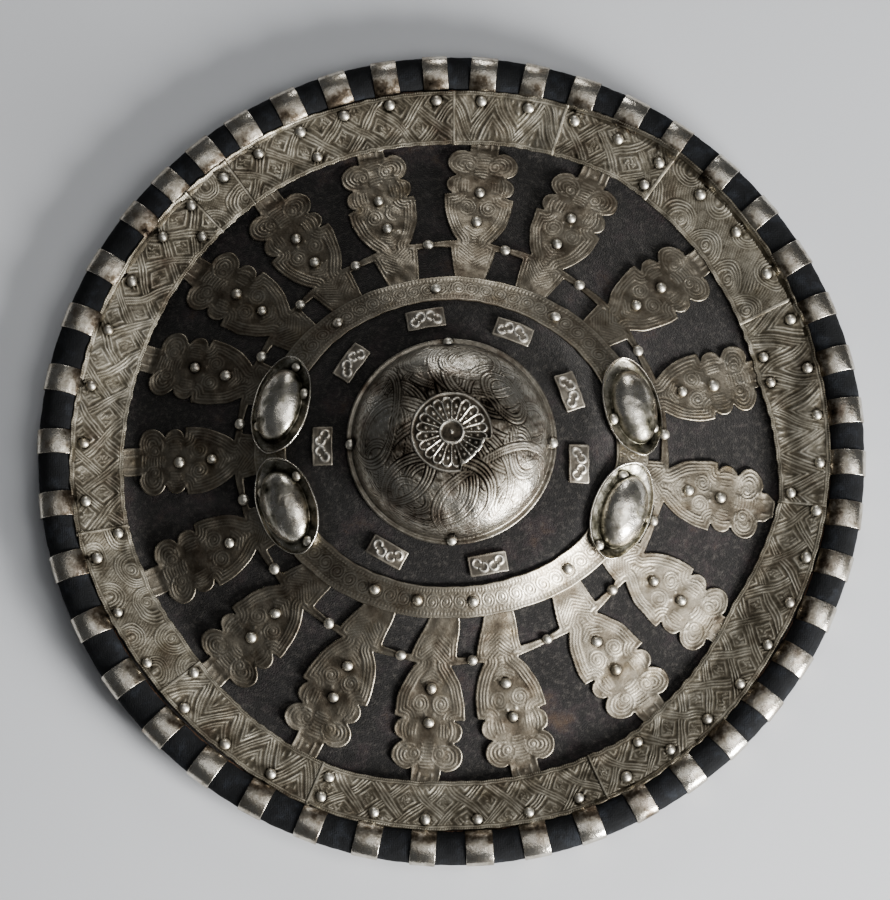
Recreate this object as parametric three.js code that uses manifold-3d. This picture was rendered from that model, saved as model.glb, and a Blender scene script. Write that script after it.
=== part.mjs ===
import * as THREE from 'three';
import { mergeVertices } from 'three/addons/utils/BufferGeometryUtils.js';
import Module from 'manifold-3d';

// A round cavalry shield of moulded hide, covered with velvet and mounted with embossed white metal.
// It lies face up. Bearings are degrees clockwise from the top edge, radii are taken in plan.

// Plan sizes in millimetres
const SHIELD_RADIUS = 250;
const RIM_WIDTH = 22;
const BAND_WIDTH = 38;
const RING_OUTER_RADIUS = 105;
const RING_WIDTH = 17;
const RING_SPREAD = 0.13;
const NECK_LENGTH = 25;
const DOME_RADIUS = 61.5;

// Heights of the hide's front, from the valley under the band up to the dome
const BAND_RISE = 6;
const LEAF_RISE = 21;
const NECK_RISE = 12;
const RING_RISE = 13;
const FIELD_RISE = 4.5;
const DOME_HEIGHT = 26;

// Thicknesses, and the gap that touching pieces keep
const HIDE_THICKNESS = 8;
const VELVET_THICKNESS = 1.2;
const METAL_THICKNESS = 0.9;
const GAP = 0.3;
const FOOT_WIDTH = 14;

// Rolled rim with its metal strips, its crest given as a share of its width
const RIM_DEPTH = 12;
const RIM_CREST = 0.55;
const STRIP_COUNT = 45;
const STRIP_WIDTH = 15.7;
const STRIP_THICKNESS = 0.8;
const STRIP_DRIFT = [
	[0, 4.7], [4, 2.6], [9, 3.6], [14, 1.7], [18, -0.2], [24, 0.1],
	[28, 2.2], [32, 7], [35, 10.8], [37, 12], [40, 8.2], [45, 5],
];

// Band of overlapping embossed plates: where each begins, and how far its inner edge wanders,
// as shares of the band's width
const BAND_SEAMS = [0, 17.4, 35.6, 64, 97.2, 155.4, 201.8, 230, 257.6, 315, 322.6];
const BAND_WANDER = [
	[0, 0.13], [30, 0.26], [45, 0.18], [75, 0.03], [97, 0.24], [118, 0.03], [150, 0.28],
	[180, 0.2], [201, 0.31], [235, 0.13], [257, 0.24], [285, 0.17], [330, 0.2], [360, 0.13],
];
const EDGE_STUDS = [34.6, 71.6, 76.3, 96, 147.3, 200.6, 229.6, 257, 312.3, 336.5];
const EDGE_STUD_INSET = 7;

// Leaves, each with two tiers of round lobes over a broad blade, a neck and two thin arms
const LEAF_BEARINGS = [
	6, 26.2, 50.6, 74.6, 99, 122.8, 143, 167, 184.8, 205.6, 227.2, 247.6, 268.6, 289.4, 307.6, 325, 344.4,
];
const LEAF_WIDTH = 44;
const TAB_WIDTH = 12;
const LOBE_RADIUS = 10.5;
const LOBE_CUT = 1.5;
const SMALL_LOBE_LENGTH = 11.5;
const SMALL_LOBE_BULGE = 5.5;
const NOTCH_DEPTH = 4.5;
const BLADE_SWELL = 2.5;
const BLADE_TURN = 0.48;
const WAIST_WIDTH = 20;
const NECK_WIDTH = 28;
const NECK_END_WIDTH = 13.5;
const ARM_WIDTH = 3;
const ARM_LEAD = 1.5;
const LEAF_STUDS = [0.24, 0.57];
const BARE_LEAF = 11;
const DARK_LEAVES = [10, 14];

// Studs that nail the mounts down
const STUD_RADIUS = 3.4;
const STUD_HEIGHT = 3;
const STUD_SIDES = 5;
const STUD_ROOT = 0.4;
const STUD_INSET = 6;
const STUD_CLEARANCE = 1;
const RING_STUDS = [38, 137, 172.3, 192.2, 207.6, 318, 354.4];
const DOME_STUDS = [358, 91, 180, 268];

// Four oval bosses that straddle the ring. A boss's lead is how far its middle stands out from the ring's
// outer radius, and its studs are given along and across the flange
const BOSS_LENGTH = 62;
const BOSS_WIDTH = 36;
const BOSS_SIDES = 14;
const BOSS_END_POWER = 0.9;
const BOSS_SIDE_POWER = 1.2;
const BOSS_DOME_LENGTH = 44;
const BOSS_DOME_WIDTH = 25;
const BOSS_DOME_HEIGHT = 12;
const BOSSES = [
	{ bearing: 77.2, lead: 5, studs: [[6, -14], [14, 12.4]] },
	{ bearing: 111, lead: 3, studs: [[-20, -7], [25, -5], [-3, 14]] },
	{ bearing: 249.6, lead: -1, studs: [[14, -12.5], [-25, -4], [14, 13]] },
	{ bearing: 283.7, lead: -1, studs: [[25, -3], [9, -13], [-14, 13]] },
];

// Small stamped plaques on the velvet, placed by a share of the room between dome and ring
const PLAQUE_BEARINGS = [348.4, 28.5, 66.2, 99.7, 163.6, 209.9, 268.3, 309.2];
const PLAQUE_PLACE = 0.71;
const PLAQUE_LENGTH = 23.5;
const PLAQUE_WIDTH = 12;
const SCROLL_RADIUS = 4.2;
const SCROLL_TAPER = 0.8;
const SCROLL_SPREAD = 5.4;
const SCROLL_HEIGHT = 0.6;

// Dome, its flange and the rosette on its crown
const DOME_FLANGE = 3.5;
const DOME_SQUARENESS = 2.6;
const DOME_FACETS = 24;
const ROSETTE_RADIUS = 24.5;
const ROSETTE_HEIGHT = 2.4;
const ROSETTE_SPOKES = 20;
const HUB_RADIUS = 7.2;
const SPOKE_OUTER = 21;
const SPOKE_HEIGHT = 0.8;
const ROSETTE_BREAK = [100, 165];
const BREAK_DEPTH = 5;
const ROSETTE_BEND = 0.6;

// Hand grip of leather across the hollow back
const GRIP_SPAN = 150;
const GRIP_WIDTH = 28;
const GRIP_THICKNESS = 5;
const GRIP_PAD = 22;
const GRIP_DROP = 34;
const GRIP_ARCH = 0.8;
const GRIP_STEPS = 10;

const FACETS = 34;
const CUT_DEPTH = 20;
const CUT_HEIGHT = 140;
const DEGREE = Math.PI / 180;

// Levels worked out from the sizes above
const bandRadius = SHIELD_RADIUS - RIM_WIDTH;
const valleyRadius = bandRadius - BAND_WIDTH;
const ringInnerRadius = RING_OUTER_RADIUS - RING_WIDTH;
const waistRadius = RING_OUTER_RADIUS + NECK_LENGTH;
const frontSection = [[valleyRadius, HIDE_THICKNESS]];
for (const [radius, rise] of [
	[waistRadius, LEAF_RISE], [RING_OUTER_RADIUS, NECK_RISE],
	[ringInnerRadius, RING_RISE], [DOME_RADIUS, FIELD_RISE],
]) {
	frontSection.unshift([radius, frontSection[0][1] + rise]);
}
frontSection.push([bandRadius, HIDE_THICKNESS + BAND_RISE]);
const fieldHeight = frontSection[0][1];
const velvetLift = GAP;
const metalLift = velvetLift + VELVET_THICKNESS + GAP;
const bossLift = metalLift + METAL_THICKNESS + GAP;
const leafLength = valleyRadius - waistRadius - GAP;

const wasm = await Module();
wasm.setup();

const silver = { color: 0x8d877a, roughness: 0.38, metalness: 0.9 };
const darkSilver = { color: 0x5f5a50, roughness: 0.42, metalness: 0.85 };
const velvet = { color: 0x17151a, roughness: 0.95, metalness: 0 };
const binding = { color: 0x22252c, roughness: 0.8, metalness: 0.1 };
const hide = { color: 0x6b4a30, roughness: 0.75, metalness: 0 };
const leather = { color: 0x4a3020, roughness: 0.7, metalness: 0 };

// Closed solid from a geometry, with its shared points joined and its faces outward
function toSolid(geometry) {
	geometry.deleteAttribute('normal');
	geometry.deleteAttribute('uv');
	const merged = mergeVertices(geometry, 1e-4);
	const corners = merged.index.array;
	const faces = [];
	for (let i = 0; i < corners.length; i += 3) {
		const [a, b, c] = [corners[i], corners[i + 1], corners[i + 2]];
		if (a !== b && b !== c && c !== a) faces.push([a, b, c]);
	}
	const vertProperties = new Float32Array(merged.attributes.position.array);
	const build = (list) => new wasm.Manifold(
		new wasm.Mesh({ numProp: 3, vertProperties, triVerts: new Uint32Array(list.flat()) }),
	);
	const solid = build(faces);
	return solid.volume() > 0 ? solid : build(faces.map(([a, b, c]) => [a, c, b]));
}

function join(solids) {
	return solids.reduce((whole, piece) => whole.add(piece));
}

// Point of the plan at a bearing and radius
function planPoint(bearing, radius) {
	return new THREE.Vector2(radius * Math.sin(bearing * DEGREE), radius * Math.cos(bearing * DEGREE));
}

// Point of the plan given outward along a bearing and sideways, clockwise, from it
function beside(bearing, outward, sideways) {
	return planPoint(bearing, outward).add(planPoint(bearing + 90, sideways));
}

function between(knots, at) {
	const next = Math.max(1, knots.findIndex(([x]) => x >= at));
	const [[x0, y0], [x1, y1]] = [knots[next - 1], knots[next]];
	return y0 + (y1 - y0) * (at - x0) / (x1 - x0);
}

// Height of the hide's front, and how steeply it falls outward
function frontHeight(radius) {
	const last = frontSection[frontSection.length - 1][0];
	return between(frontSection, Math.min(Math.max(radius, DOME_RADIUS), last));
}

function frontSlope(radius) {
	return Math.atan(frontHeight(radius - 1) / 2 - frontHeight(radius + 1) / 2);
}

function lathe(section, facets = FACETS) {
	const geometry = new THREE.LatheGeometry(section.map(([r, z]) => new THREE.Vector2(r, z)), facets);
	geometry.rotateX(Math.PI / 2);
	return toSolid(geometry);
}

// Line of the front between two radii, lifted off the hide
function frontLine(inner, outer, lift) {
	const inside = frontSection.map(([r]) => r).filter((r) => r > inner && r < outer);
	return [inner, ...inside, outer].map((r) => [r, frontHeight(r) + lift]);
}

// Layer that follows the front all round
function layer(inner, outer, lift, thickness) {
	const under = frontLine(inner, outer, lift);
	const over = frontLine(inner, outer, lift + thickness).reverse();
	return lathe([...under, ...over, under[0]]);
}

function prism(outline) {
	const depth = CUT_HEIGHT + CUT_DEPTH;
	const geometry = new THREE.ExtrudeGeometry(new THREE.Shape(outline), { depth, bevelEnabled: false });
	geometry.translate(0, 0, -CUT_DEPTH);
	return toSolid(geometry);
}

// Puts a geometry modelled round the Z axis on the front, leaning with the slope
function seat(geometry, point, lift) {
	const radius = point.length();
	const bearing = Math.atan2(point.x, point.y);
	geometry.rotateX(-frontSlope(radius));
	geometry.rotateZ(-bearing);
	geometry.translate(point.x, point.y, frontHeight(radius) + lift);
	return geometry;
}

function studShape() {
	const height = STUD_HEIGHT + STUD_ROOT;
	const geometry = new THREE.ConeGeometry(STUD_RADIUS, height, STUD_SIDES);
	geometry.rotateX(Math.PI / 2);
	geometry.translate(0, 0, height / 2 - STUD_ROOT);
	return geometry;
}

function stud(point, lift = metalLift) {
	return toSolid(seat(studShape(), point, lift + METAL_THICKNESS));
}

const group = new THREE.Group();

function addMesh(name, solid, look) {
	const { vertProperties, triVerts, numProp } = solid.getMesh();
	const points = [];
	for (let i = 0; i < vertProperties.length; i += numProp) points.push(...vertProperties.slice(i, i + 3));
	const geometry = new THREE.BufferGeometry();
	geometry.setAttribute('position', new THREE.Float32BufferAttribute(points, 3));
	geometry.setIndex(Array.from(triVerts));
	geometry.computeVertexNormals();
	const mesh = new THREE.Mesh(geometry, new THREE.MeshStandardMaterial(look));
	mesh.name = name;
	group.add(mesh);
}

// Section of a flattened round dome, from its foot to its crown
function domeSection(radius, height, base, steps) {
	const section = [];
	for (let i = 0; i <= steps; i++) {
		const turn = i / steps * Math.PI / 2;
		section.push([
			i === steps ? 0 : radius * Math.cos(turn) ** (2 / DOME_SQUARENESS),
			base + height * Math.sin(turn),
		]);
	}
	return section;
}

// The hide, with its hollow umbo under the dome and a flat ring to lie on
const domeInner = DOME_RADIUS - DOME_FLANGE - METAL_THICKNESS;
const umboRadius = domeInner - FIELD_RISE;
const umboHeight = DOME_HEIGHT - METAL_THICKNESS - GAP;
const backSection = [
	...frontSection.slice(0, -2).map(([r, z]) => [r, z - HIDE_THICKNESS]),
	[valleyRadius - FOOT_WIDTH / 2, 0],
	[valleyRadius + FOOT_WIDTH / 2, 0],
	[bandRadius, BAND_RISE],
];

function hideFilled(line, floor) {
	const [[, top]] = line;
	return lathe([[0, floor], [bandRadius, floor], ...[...line].reverse(), [0, top]]);
}

function umbo(radius, height, base) {
	const foot = [[0, base - HIDE_THICKNESS / 2], [radius, base - HIDE_THICKNESS / 2]];
	return lathe([...foot, ...domeSection(radius, height, base, 3)], DOME_FACETS);
}

const backFilled = hideFilled(backSection, -CUT_DEPTH).add(
	umbo(umboRadius - HIDE_THICKNESS, umboHeight, fieldHeight - HIDE_THICKNESS),
);
const frontFilled = hideFilled(frontSection, 0).add(umbo(umboRadius, umboHeight, fieldHeight));
addMesh('hide_shell', frontFilled.subtract(backFilled), hide);

addMesh('velvet_cover', layer(umboRadius + GAP, bandRadius, velvetLift, VELVET_THICKNESS), velvet);

// Rolled rim in section, and the same roll with the strips' thickness on its front
const rimCentre = HIDE_THICKNESS + BAND_RISE + GAP;

function stripBearing(index) {
	const turn = 360 / STRIP_COUNT;
	const wrapped = (index + STRIP_COUNT) % STRIP_COUNT;
	return turn * index + between(STRIP_DRIFT, wrapped);
}

// The rim's facets meet halfway between strips, and even the widest clears the hide's edge
function stationBearing(index) {
	return (stripBearing(index - 1) + stripBearing(index)) / 2;
}

let widest = 0;
for (let i = 0; i < STRIP_COUNT; i++) {
	widest = Math.max(widest, stationBearing(i + 1) - stationBearing(i));
}
const rimInner = (bandRadius + GAP) / Math.cos(widest / 2 * DEGREE);

function rimSection(extra) {
	const reach = SHIELD_RADIUS - STRIP_THICKNESS - rimInner;
	const foot = [rimInner, rimCentre - RIM_DEPTH / 2 - extra];
	const shoulder = [rimInner, rimCentre + RIM_DEPTH / 6 + extra];
	const top = [rimInner + reach * RIM_CREST, rimCentre + RIM_DEPTH / 2 + extra];
	const edge = [rimInner + reach + extra, rimCentre];
	return [foot, shoulder, top, edge, foot];
}

function rimRing(extra) {
	const section = rimSection(extra);
	const geometry = new THREE.LatheGeometry(section.map(([r, z]) => new THREE.Vector2(r, z)), STRIP_COUNT);
	const position = geometry.attributes.position;
	for (let i = 0; i < position.count; i++) {
		const station = Math.floor(i / section.length) % STRIP_COUNT;
		const [radius, height] = section[i % section.length];
		const point = planPoint(stationBearing(station), radius);
		position.setXYZ(i, point.x, point.y, height);
	}
	return toSolid(geometry);
}

const stripCutters = [];
for (let i = 0; i < STRIP_COUNT; i++) {
	const cutter = new THREE.BoxGeometry(STRIP_WIDTH, 2 * RIM_WIDTH, CUT_HEIGHT);
	const place = planPoint(stripBearing(i), SHIELD_RADIUS - RIM_WIDTH / 2);
	cutter.rotateZ(-stripBearing(i) * DEGREE);
	cutter.translate(place.x, place.y, 0);
	stripCutters.push(toSolid(cutter));
}
const strips = rimRing(STRIP_THICKNESS).intersect(join(stripCutters));
addMesh('rim_binding', rimRing(0).add(strips), binding);

// Band plates, butted end to end, their inner edges wandering as laid by hand
function bandInner(bearing) {
	return valleyRadius + BAND_WIDTH * between(BAND_WANDER, (bearing + 360) % 360);
}

function bandOutline(from, to, inset) {
	const step = 360 / FACETS;
	const bearings = [from];
	for (let turn = Math.ceil((from + 1) / step) * step; turn < to - 1; turn += step) bearings.push(turn);
	bearings.push(to);
	const inner = bearings.map((bearing) => planPoint(bearing, bandInner(bearing) - inset));
	const outer = bearings.map((bearing) => planPoint(bearing, SHIELD_RADIUS));
	return [...inner, ...outer.reverse()];
}

const bandLayer = layer(valleyRadius, bandRadius, metalLift, METAL_THICKNESS);
const bandStuds = [];
for (let i = 0; i < STRIP_COUNT; i++) {
	bandStuds.push([stripBearing(i) % 360, bandRadius - STUD_INSET]);
}
for (const bearing of EDGE_STUDS) bandStuds.push([bearing, bandInner(bearing) + EDGE_STUD_INSET]);

BAND_SEAMS.forEach((seam, i) => {
	const end = i + 1 < BAND_SEAMS.length ? BAND_SEAMS[i + 1] : 360;
	const half = GAP / 2 / bandRadius / DEGREE;
	const plate = bandLayer.intersect(prism(bandOutline(seam + half, end - half, 0)));
	const margin = (STUD_RADIUS + STUD_CLEARANCE) / bandRadius / DEGREE;
	const studs = bandStuds
		.map(([bearing, radius]) => [bearing - 360 * Math.round((bearing - (seam + end) / 2) / 360), radius])
		.filter(([bearing]) => bearing > seam && bearing <= end)
		.map(([bearing, radius]) => {
			const kept = Math.min(Math.max(bearing, seam + margin), end - margin);
			return stud(planPoint(kept, radius));
		});
	const name = `band_plate_${String(i + 1).padStart(2, '0')}`;
	addMesh(name, join([plate, ...studs]), silver);
});

// A leaf's tab runs out to the band, whose inner edge wanders by no more than this
const tabReach = BAND_WIDTH / 2;

// Half outline of a leaf, out from the waist: [outward, sideways]
function leafHalf() {
	const half = LEAF_WIDTH / 2;
	const lobeFoot = leafLength - 2 * LOBE_RADIUS + LOBE_CUT;
	const smallFoot = lobeFoot - SMALL_LOBE_LENGTH;
	const blade = new THREE.QuadraticBezierCurve(
		new THREE.Vector2(0, WAIST_WIDTH / 2),
		new THREE.Vector2(smallFoot * BLADE_TURN, half + BLADE_SWELL),
		new THREE.Vector2(smallFoot - 1, half),
	);
	const points = blade.getPoints(3).map((p) => [p.x, p.y]);
	points.push([smallFoot, half - NOTCH_DEPTH]);
	for (const turn of [-40, 40]) {
		points.push([
			(smallFoot + lobeFoot) / 2 + SMALL_LOBE_LENGTH / 2 * Math.sin(turn * DEGREE),
			half - SMALL_LOBE_BULGE * (1 - Math.cos(turn * DEGREE)),
		]);
	}
	for (const turn of [150, 100, 50, 0]) {
		points.push([
			leafLength - LOBE_RADIUS * (1 - Math.cos(turn * DEGREE)),
			LOBE_RADIUS * (1 + Math.sin(turn * DEGREE)),
		]);
	}
	points.push([leafLength - 1, TAB_WIDTH / 2], [leafLength + tabReach, TAB_WIDTH / 2]);
	return points;
}

function leafOutline(bearing) {
	const neckStart = -ARM_WIDTH;
	const neckEnd = ringInnerRadius - waistRadius;
	const half = [[neckEnd, NECK_END_WIDTH / 2 - 1], [neckStart, NECK_WIDTH / 2], ...leafHalf()];
	const right = half.map(([out, side]) => beside(bearing, waistRadius + out, side));
	const left = half.map(([out, side]) => beside(bearing, waistRadius + out, -side));
	return [...right, ...left.reverse()];
}

// Arm bearing between two neighbouring leaves, where one stud holds both arms
function armBearing(index) {
	const bearing = LEAF_BEARINGS[index];
	const next = index + 1 < LEAF_BEARINGS.length ? LEAF_BEARINGS[index + 1] : LEAF_BEARINGS[0] + 360;
	return (bearing + next) / 2 - ARM_LEAD;
}

const armRadius = waistRadius - ARM_WIDTH / 2;

function armOutline(from, to) {
	const inner = [from, to].map((bearing) => planPoint(bearing, armRadius - ARM_WIDTH / 2));
	const outer = [to, from].map((bearing) => planPoint(bearing, armRadius + ARM_WIDTH / 2));
	return [...inner, ...outer];
}

function ringOutline(radius, inset) {
	const outline = [];
	for (let i = 0; i < FACETS; i++) {
		const bearing = 360 / FACETS * i;
		const spread = 1 + RING_SPREAD * Math.sin(bearing * DEGREE) ** 2;
		outline.push(planPoint(bearing, radius * spread + inset));
	}
	return outline;
}

const leafLayer = layer(ringInnerRadius, bandRadius, metalLift, METAL_THICKNESS);
const ringReach = prism(ringOutline(RING_OUTER_RADIUS, GAP));
const bandReach = layer(valleyRadius - tabReach, bandRadius + GAP, 0, BAND_WIDTH)
	.intersect(prism(bandOutline(0, 180, GAP)).add(prism(bandOutline(180, 360, GAP))));
LEAF_BEARINGS.forEach((bearing, i) => {
	const before = (i + LEAF_BEARINGS.length - 1) % LEAF_BEARINGS.length;
	const last = armBearing(before) - (i === 0 ? 360 : 0);
	const pad = (STUD_RADIUS + GAP + STUD_CLEARANCE) / armRadius / DEGREE;
	const outlines = [
		leafOutline(bearing),
		armOutline(bearing, armBearing(i)),
		armOutline(last + pad, bearing),
	];
	const blade = leafLayer.intersect(join(outlines.map(prism))).subtract(ringReach).subtract(bandReach);
	const nailed = i === BARE_LEAF ? LEAF_STUDS.slice(0, 1) : LEAF_STUDS;
	const studs = nailed.map((share) => stud(planPoint(bearing, waistRadius + leafLength * share)));
	studs.push(stud(planPoint(armBearing(i), armRadius)));
	const name = `leaf_${String(i + 1).padStart(2, '0')}`;
	const dark = i >= DARK_LEAVES[0] && i <= DARK_LEAVES[1];
	addMesh(name, join([blade, ...studs]), dark ? darkSilver : silver);
});

// Inner ring, an oval band nailed down on the steep part of the front
function ringRadius(bearing) {
	const spread = 1 + RING_SPREAD * Math.sin(bearing * DEGREE) ** 2;
	return (ringInnerRadius + RING_OUTER_RADIUS) / 2 * spread;
}

const ringLayer = layer(DOME_RADIUS, valleyRadius, metalLift, METAL_THICKNESS);
const ring = ringLayer
	.intersect(prism(ringOutline(RING_OUTER_RADIUS, 0)))
	.subtract(prism(ringOutline(ringInnerRadius, 0)));
const ringStuds = RING_STUDS.map((bearing) => stud(planPoint(bearing, ringRadius(bearing))));
addMesh('inner_ring', join([ring, ...ringStuds]), silver);

// Oval bosses, a polished oval dome on a flat almond flange that bridges the ring
function almond() {
	const shape = new THREE.Shape();
	for (let i = 0; i < BOSS_SIDES; i++) {
		const turn = 2 * Math.PI * i / BOSS_SIDES;
		const [along, across] = [Math.cos(turn), Math.sin(turn)];
		const point = new THREE.Vector2(
			BOSS_LENGTH / 2 * Math.sign(along) * Math.abs(along) ** BOSS_END_POWER,
			BOSS_WIDTH / 2 * Math.sign(across) * Math.abs(across) ** BOSS_SIDE_POWER,
		);
		if (i === 0) shape.moveTo(point.x, point.y);
		else shape.lineTo(point.x, point.y);
	}
	return shape;
}

BOSSES.forEach(({ bearing, lead, studs }, i) => {
	const radius = RING_OUTER_RADIUS + lead;
	const inner = frontHeight(radius - BOSS_WIDTH / 2);
	const outer = frontHeight(radius + BOSS_WIDTH / 2);
	const height = (inner + outer) / 2 + bossLift;
	const flange = new THREE.ExtrudeGeometry(almond(), { depth: METAL_THICKNESS, bevelEnabled: false });
	const oval = new THREE.SphereGeometry(0.5, BOSS_SIDES - 4, 6);
	oval.rotateX(Math.PI / 2);
	oval.scale(BOSS_DOME_LENGTH, BOSS_DOME_WIDTH, 2 * BOSS_DOME_HEIGHT);
	const floor = new THREE.BoxGeometry(BOSS_LENGTH, BOSS_LENGTH, BOSS_LENGTH);
	floor.translate(0, 0, -BOSS_LENGTH / 2);
	const nails = studs.map(([along, across]) => {
		const nail = studShape();
		nail.translate(along, across, METAL_THICKNESS);
		return toSolid(nail);
	});
	const lean = new THREE.Matrix4().makeRotationX(-Math.atan((inner - outer) / BOSS_WIDTH));
	const place = planPoint(bearing, radius);
	const turned = new THREE.Matrix4().makeRotationZ(-bearing * DEGREE);
	turned.multiply(lean).setPosition(place.x, place.y, height);
	const boss = join([toSolid(flange), toSolid(oval).subtract(toSolid(floor)), ...nails]);
	addMesh(`oval_boss_${i + 1}`, boss.transform(turned.elements), silver);
});

// Dome cap with its flange, then the rosette that lies on its crown
const domeFoot = fieldHeight + metalLift;
const bulge = DOME_RADIUS - DOME_FLANGE;
const domeOuter = domeSection(bulge, DOME_HEIGHT, domeFoot + METAL_THICKNESS, 5);
const domeHollow = domeSection(domeInner, DOME_HEIGHT - METAL_THICKNESS, domeFoot, 4);
const domeCap = lathe([
	[domeInner, domeFoot], [DOME_RADIUS, domeFoot], [DOME_RADIUS, domeFoot + METAL_THICKNESS],
	...domeOuter, ...[...domeHollow].reverse(),
], DOME_FACETS);
const flangeLift = METAL_THICKNESS + domeFoot - frontHeight(0);
const flangeStuds = DOME_STUDS.map((bearing) => {
	const geometry = studShape();
	const place = planPoint(bearing, DOME_RADIUS - STUD_RADIUS);
	geometry.translate(place.x, place.y, fieldHeight + flangeLift);
	return toSolid(geometry);
});
addMesh('dome', join([domeCap, ...flangeStuds]), silver);

// The rosette's plate is pleated so that every other radius stands up as a spoke
function rosetteShape() {
	const crown = domeFoot + METAL_THICKNESS + DOME_HEIGHT + 2 * GAP;
	const sag = (radius) => DOME_HEIGHT * (1 - Math.sqrt(1 - (radius / bulge) ** DOME_SQUARENESS));
	const edge = crown - sag(ROSETTE_RADIUS);
	const middle = ROSETTE_RADIUS * ROSETTE_BEND;
	const section = [
		[0, crown], [middle, crown - sag(middle)], [ROSETTE_RADIUS, edge], [ROSETTE_RADIUS, edge + METAL_THICKNESS],
		[SPOKE_OUTER, edge + METAL_THICKNESS + SPOKE_HEIGHT / 2], [HUB_RADIUS, crown + ROSETTE_HEIGHT / 2],
		[HUB_RADIUS - 1, crown + ROSETTE_HEIGHT], [0, crown + ROSETTE_HEIGHT],
	];
	const facets = 2 * ROSETTE_SPOKES;
	const geometry = new THREE.LatheGeometry(section.map(([r, z]) => new THREE.Vector2(r, z)), facets);
	geometry.rotateX(Math.PI / 2);
	const position = geometry.attributes.position;
	const [from, to] = ROSETTE_BREAK;
	for (let i = 0; i < position.count; i++) {
		const station = Math.floor(i / section.length) % facets;
		const row = i % section.length;
		const bearing = 360 / facets * station;
		const broken = bearing > from && bearing < to;
		const bite = broken ? BREAK_DEPTH * (station % 3 ? 1 : 0.5) : 0;
		const radius = Math.min(section[row][0], ROSETTE_RADIUS - (row === 4 ? bite + 1 : bite));
		const point = planPoint(bearing, radius);
		const spoke = station % 2 && (row === 4 || row === 5) ? SPOKE_HEIGHT : 0;
		position.setXYZ(i, point.x, point.y, section[row][1] + spoke);
	}
	return toSolid(geometry);
}

addMesh('rosette', rosetteShape(), silver);

// Plaques, stamped with a pair of raised rings. The ring's chord across a plaque takes some of their room
const chordDepth = PLAQUE_LENGTH ** 2 / 8 / ringInnerRadius;
const plaqueRoom = ringInnerRadius - DOME_RADIUS - PLAQUE_WIDTH - chordDepth;
const plaqueRadius = DOME_RADIUS + PLAQUE_PLACE * plaqueRoom + PLAQUE_WIDTH / 2;
PLAQUE_BEARINGS.forEach((bearing, i) => {
	const box = new THREE.BoxGeometry(PLAQUE_LENGTH, PLAQUE_WIDTH, METAL_THICKNESS);
	const eyes = [-SCROLL_SPREAD, SCROLL_SPREAD].map((side) => {
		const height = SCROLL_HEIGHT + STUD_ROOT;
		const eye = new THREE.CylinderGeometry(SCROLL_RADIUS * SCROLL_TAPER, SCROLL_RADIUS, height, STUD_SIDES);
		eye.rotateX(Math.PI / 2);
		eye.translate(side, 0, METAL_THICKNESS / 2 + height / 2 - STUD_ROOT);
		return eye;
	});
	const pieces = [box, ...eyes].map((piece) => {
		return toSolid(seat(piece, planPoint(bearing, plaqueRadius), metalLift + METAL_THICKNESS / 2));
	});
	addMesh(`plaque_${i + 1}`, join(pieces), silver);
});

// Leather grip, an arch with a pad at each end against the hide's back
function gripLine() {
	const reach = GRIP_SPAN / 2;
	const padHeight = frontHeight(reach - GRIP_PAD / 2) - HIDE_THICKNESS - GAP - GRIP_THICKNESS / 2;
	const points = [[-reach, padHeight], [-reach + GRIP_PAD, padHeight]];
	for (let i = 1; i < GRIP_STEPS; i++) {
		const across = 2 * i / GRIP_STEPS - 1;
		const drop = GRIP_DROP * Math.cos(across * Math.PI / 2) ** GRIP_ARCH;
		points.push([(reach - GRIP_PAD) * across, padHeight - drop]);
	}
	points.push([reach - GRIP_PAD, padHeight], [reach, padHeight]);
	return points;
}

function gripOutline() {
	const line = gripLine().map(([x, z]) => new THREE.Vector2(x, z));
	const sides = [1, -1].map((side) => line.map((point, i) => {
		const before = line[Math.max(0, i - 1)];
		const after = line[Math.min(line.length - 1, i + 1)];
		const along = after.clone().sub(before).normalize();
		return new THREE.Vector2(-along.y, along.x).multiplyScalar(side * GRIP_THICKNESS / 2).add(point);
	}));
	return [...sides[0], ...sides[1].reverse()];
}

const strap = new THREE.ExtrudeGeometry(
	new THREE.Shape(gripOutline()), { depth: GRIP_WIDTH, bevelEnabled: false },
);
strap.translate(0, 0, -GRIP_WIDTH / 2);
strap.rotateX(Math.PI / 2);
const hollow = hideFilled(backSection.map(([r, z]) => [r, z - GAP]), -CUT_DEPTH);
addMesh('grip_strap', toSolid(strap).intersect(hollow), leather);

export default group;
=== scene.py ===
import math

import bpy
import numpy as np
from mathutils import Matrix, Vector
from mathutils.geometry import delaunay_2d_cdt


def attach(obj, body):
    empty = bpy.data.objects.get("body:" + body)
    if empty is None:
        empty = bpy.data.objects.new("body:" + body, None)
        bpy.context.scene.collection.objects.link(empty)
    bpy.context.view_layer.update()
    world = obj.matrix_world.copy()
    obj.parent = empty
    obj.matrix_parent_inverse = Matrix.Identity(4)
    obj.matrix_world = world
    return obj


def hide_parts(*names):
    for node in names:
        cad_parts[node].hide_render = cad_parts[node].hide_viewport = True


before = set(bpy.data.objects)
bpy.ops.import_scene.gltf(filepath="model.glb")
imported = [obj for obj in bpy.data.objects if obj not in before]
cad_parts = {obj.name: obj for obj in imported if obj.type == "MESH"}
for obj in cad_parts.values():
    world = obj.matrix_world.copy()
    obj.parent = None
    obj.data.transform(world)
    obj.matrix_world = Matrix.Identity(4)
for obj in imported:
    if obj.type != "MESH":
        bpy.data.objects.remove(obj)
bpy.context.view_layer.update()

# A round hide shield, covered with velvet and mounted with embossed white metal, lying face up.
# Sizes are in millimetres, bearings in degrees clockwise from the top edge, radii in plan.
MM = 0.001
DEGREE = math.pi / 180

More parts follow.
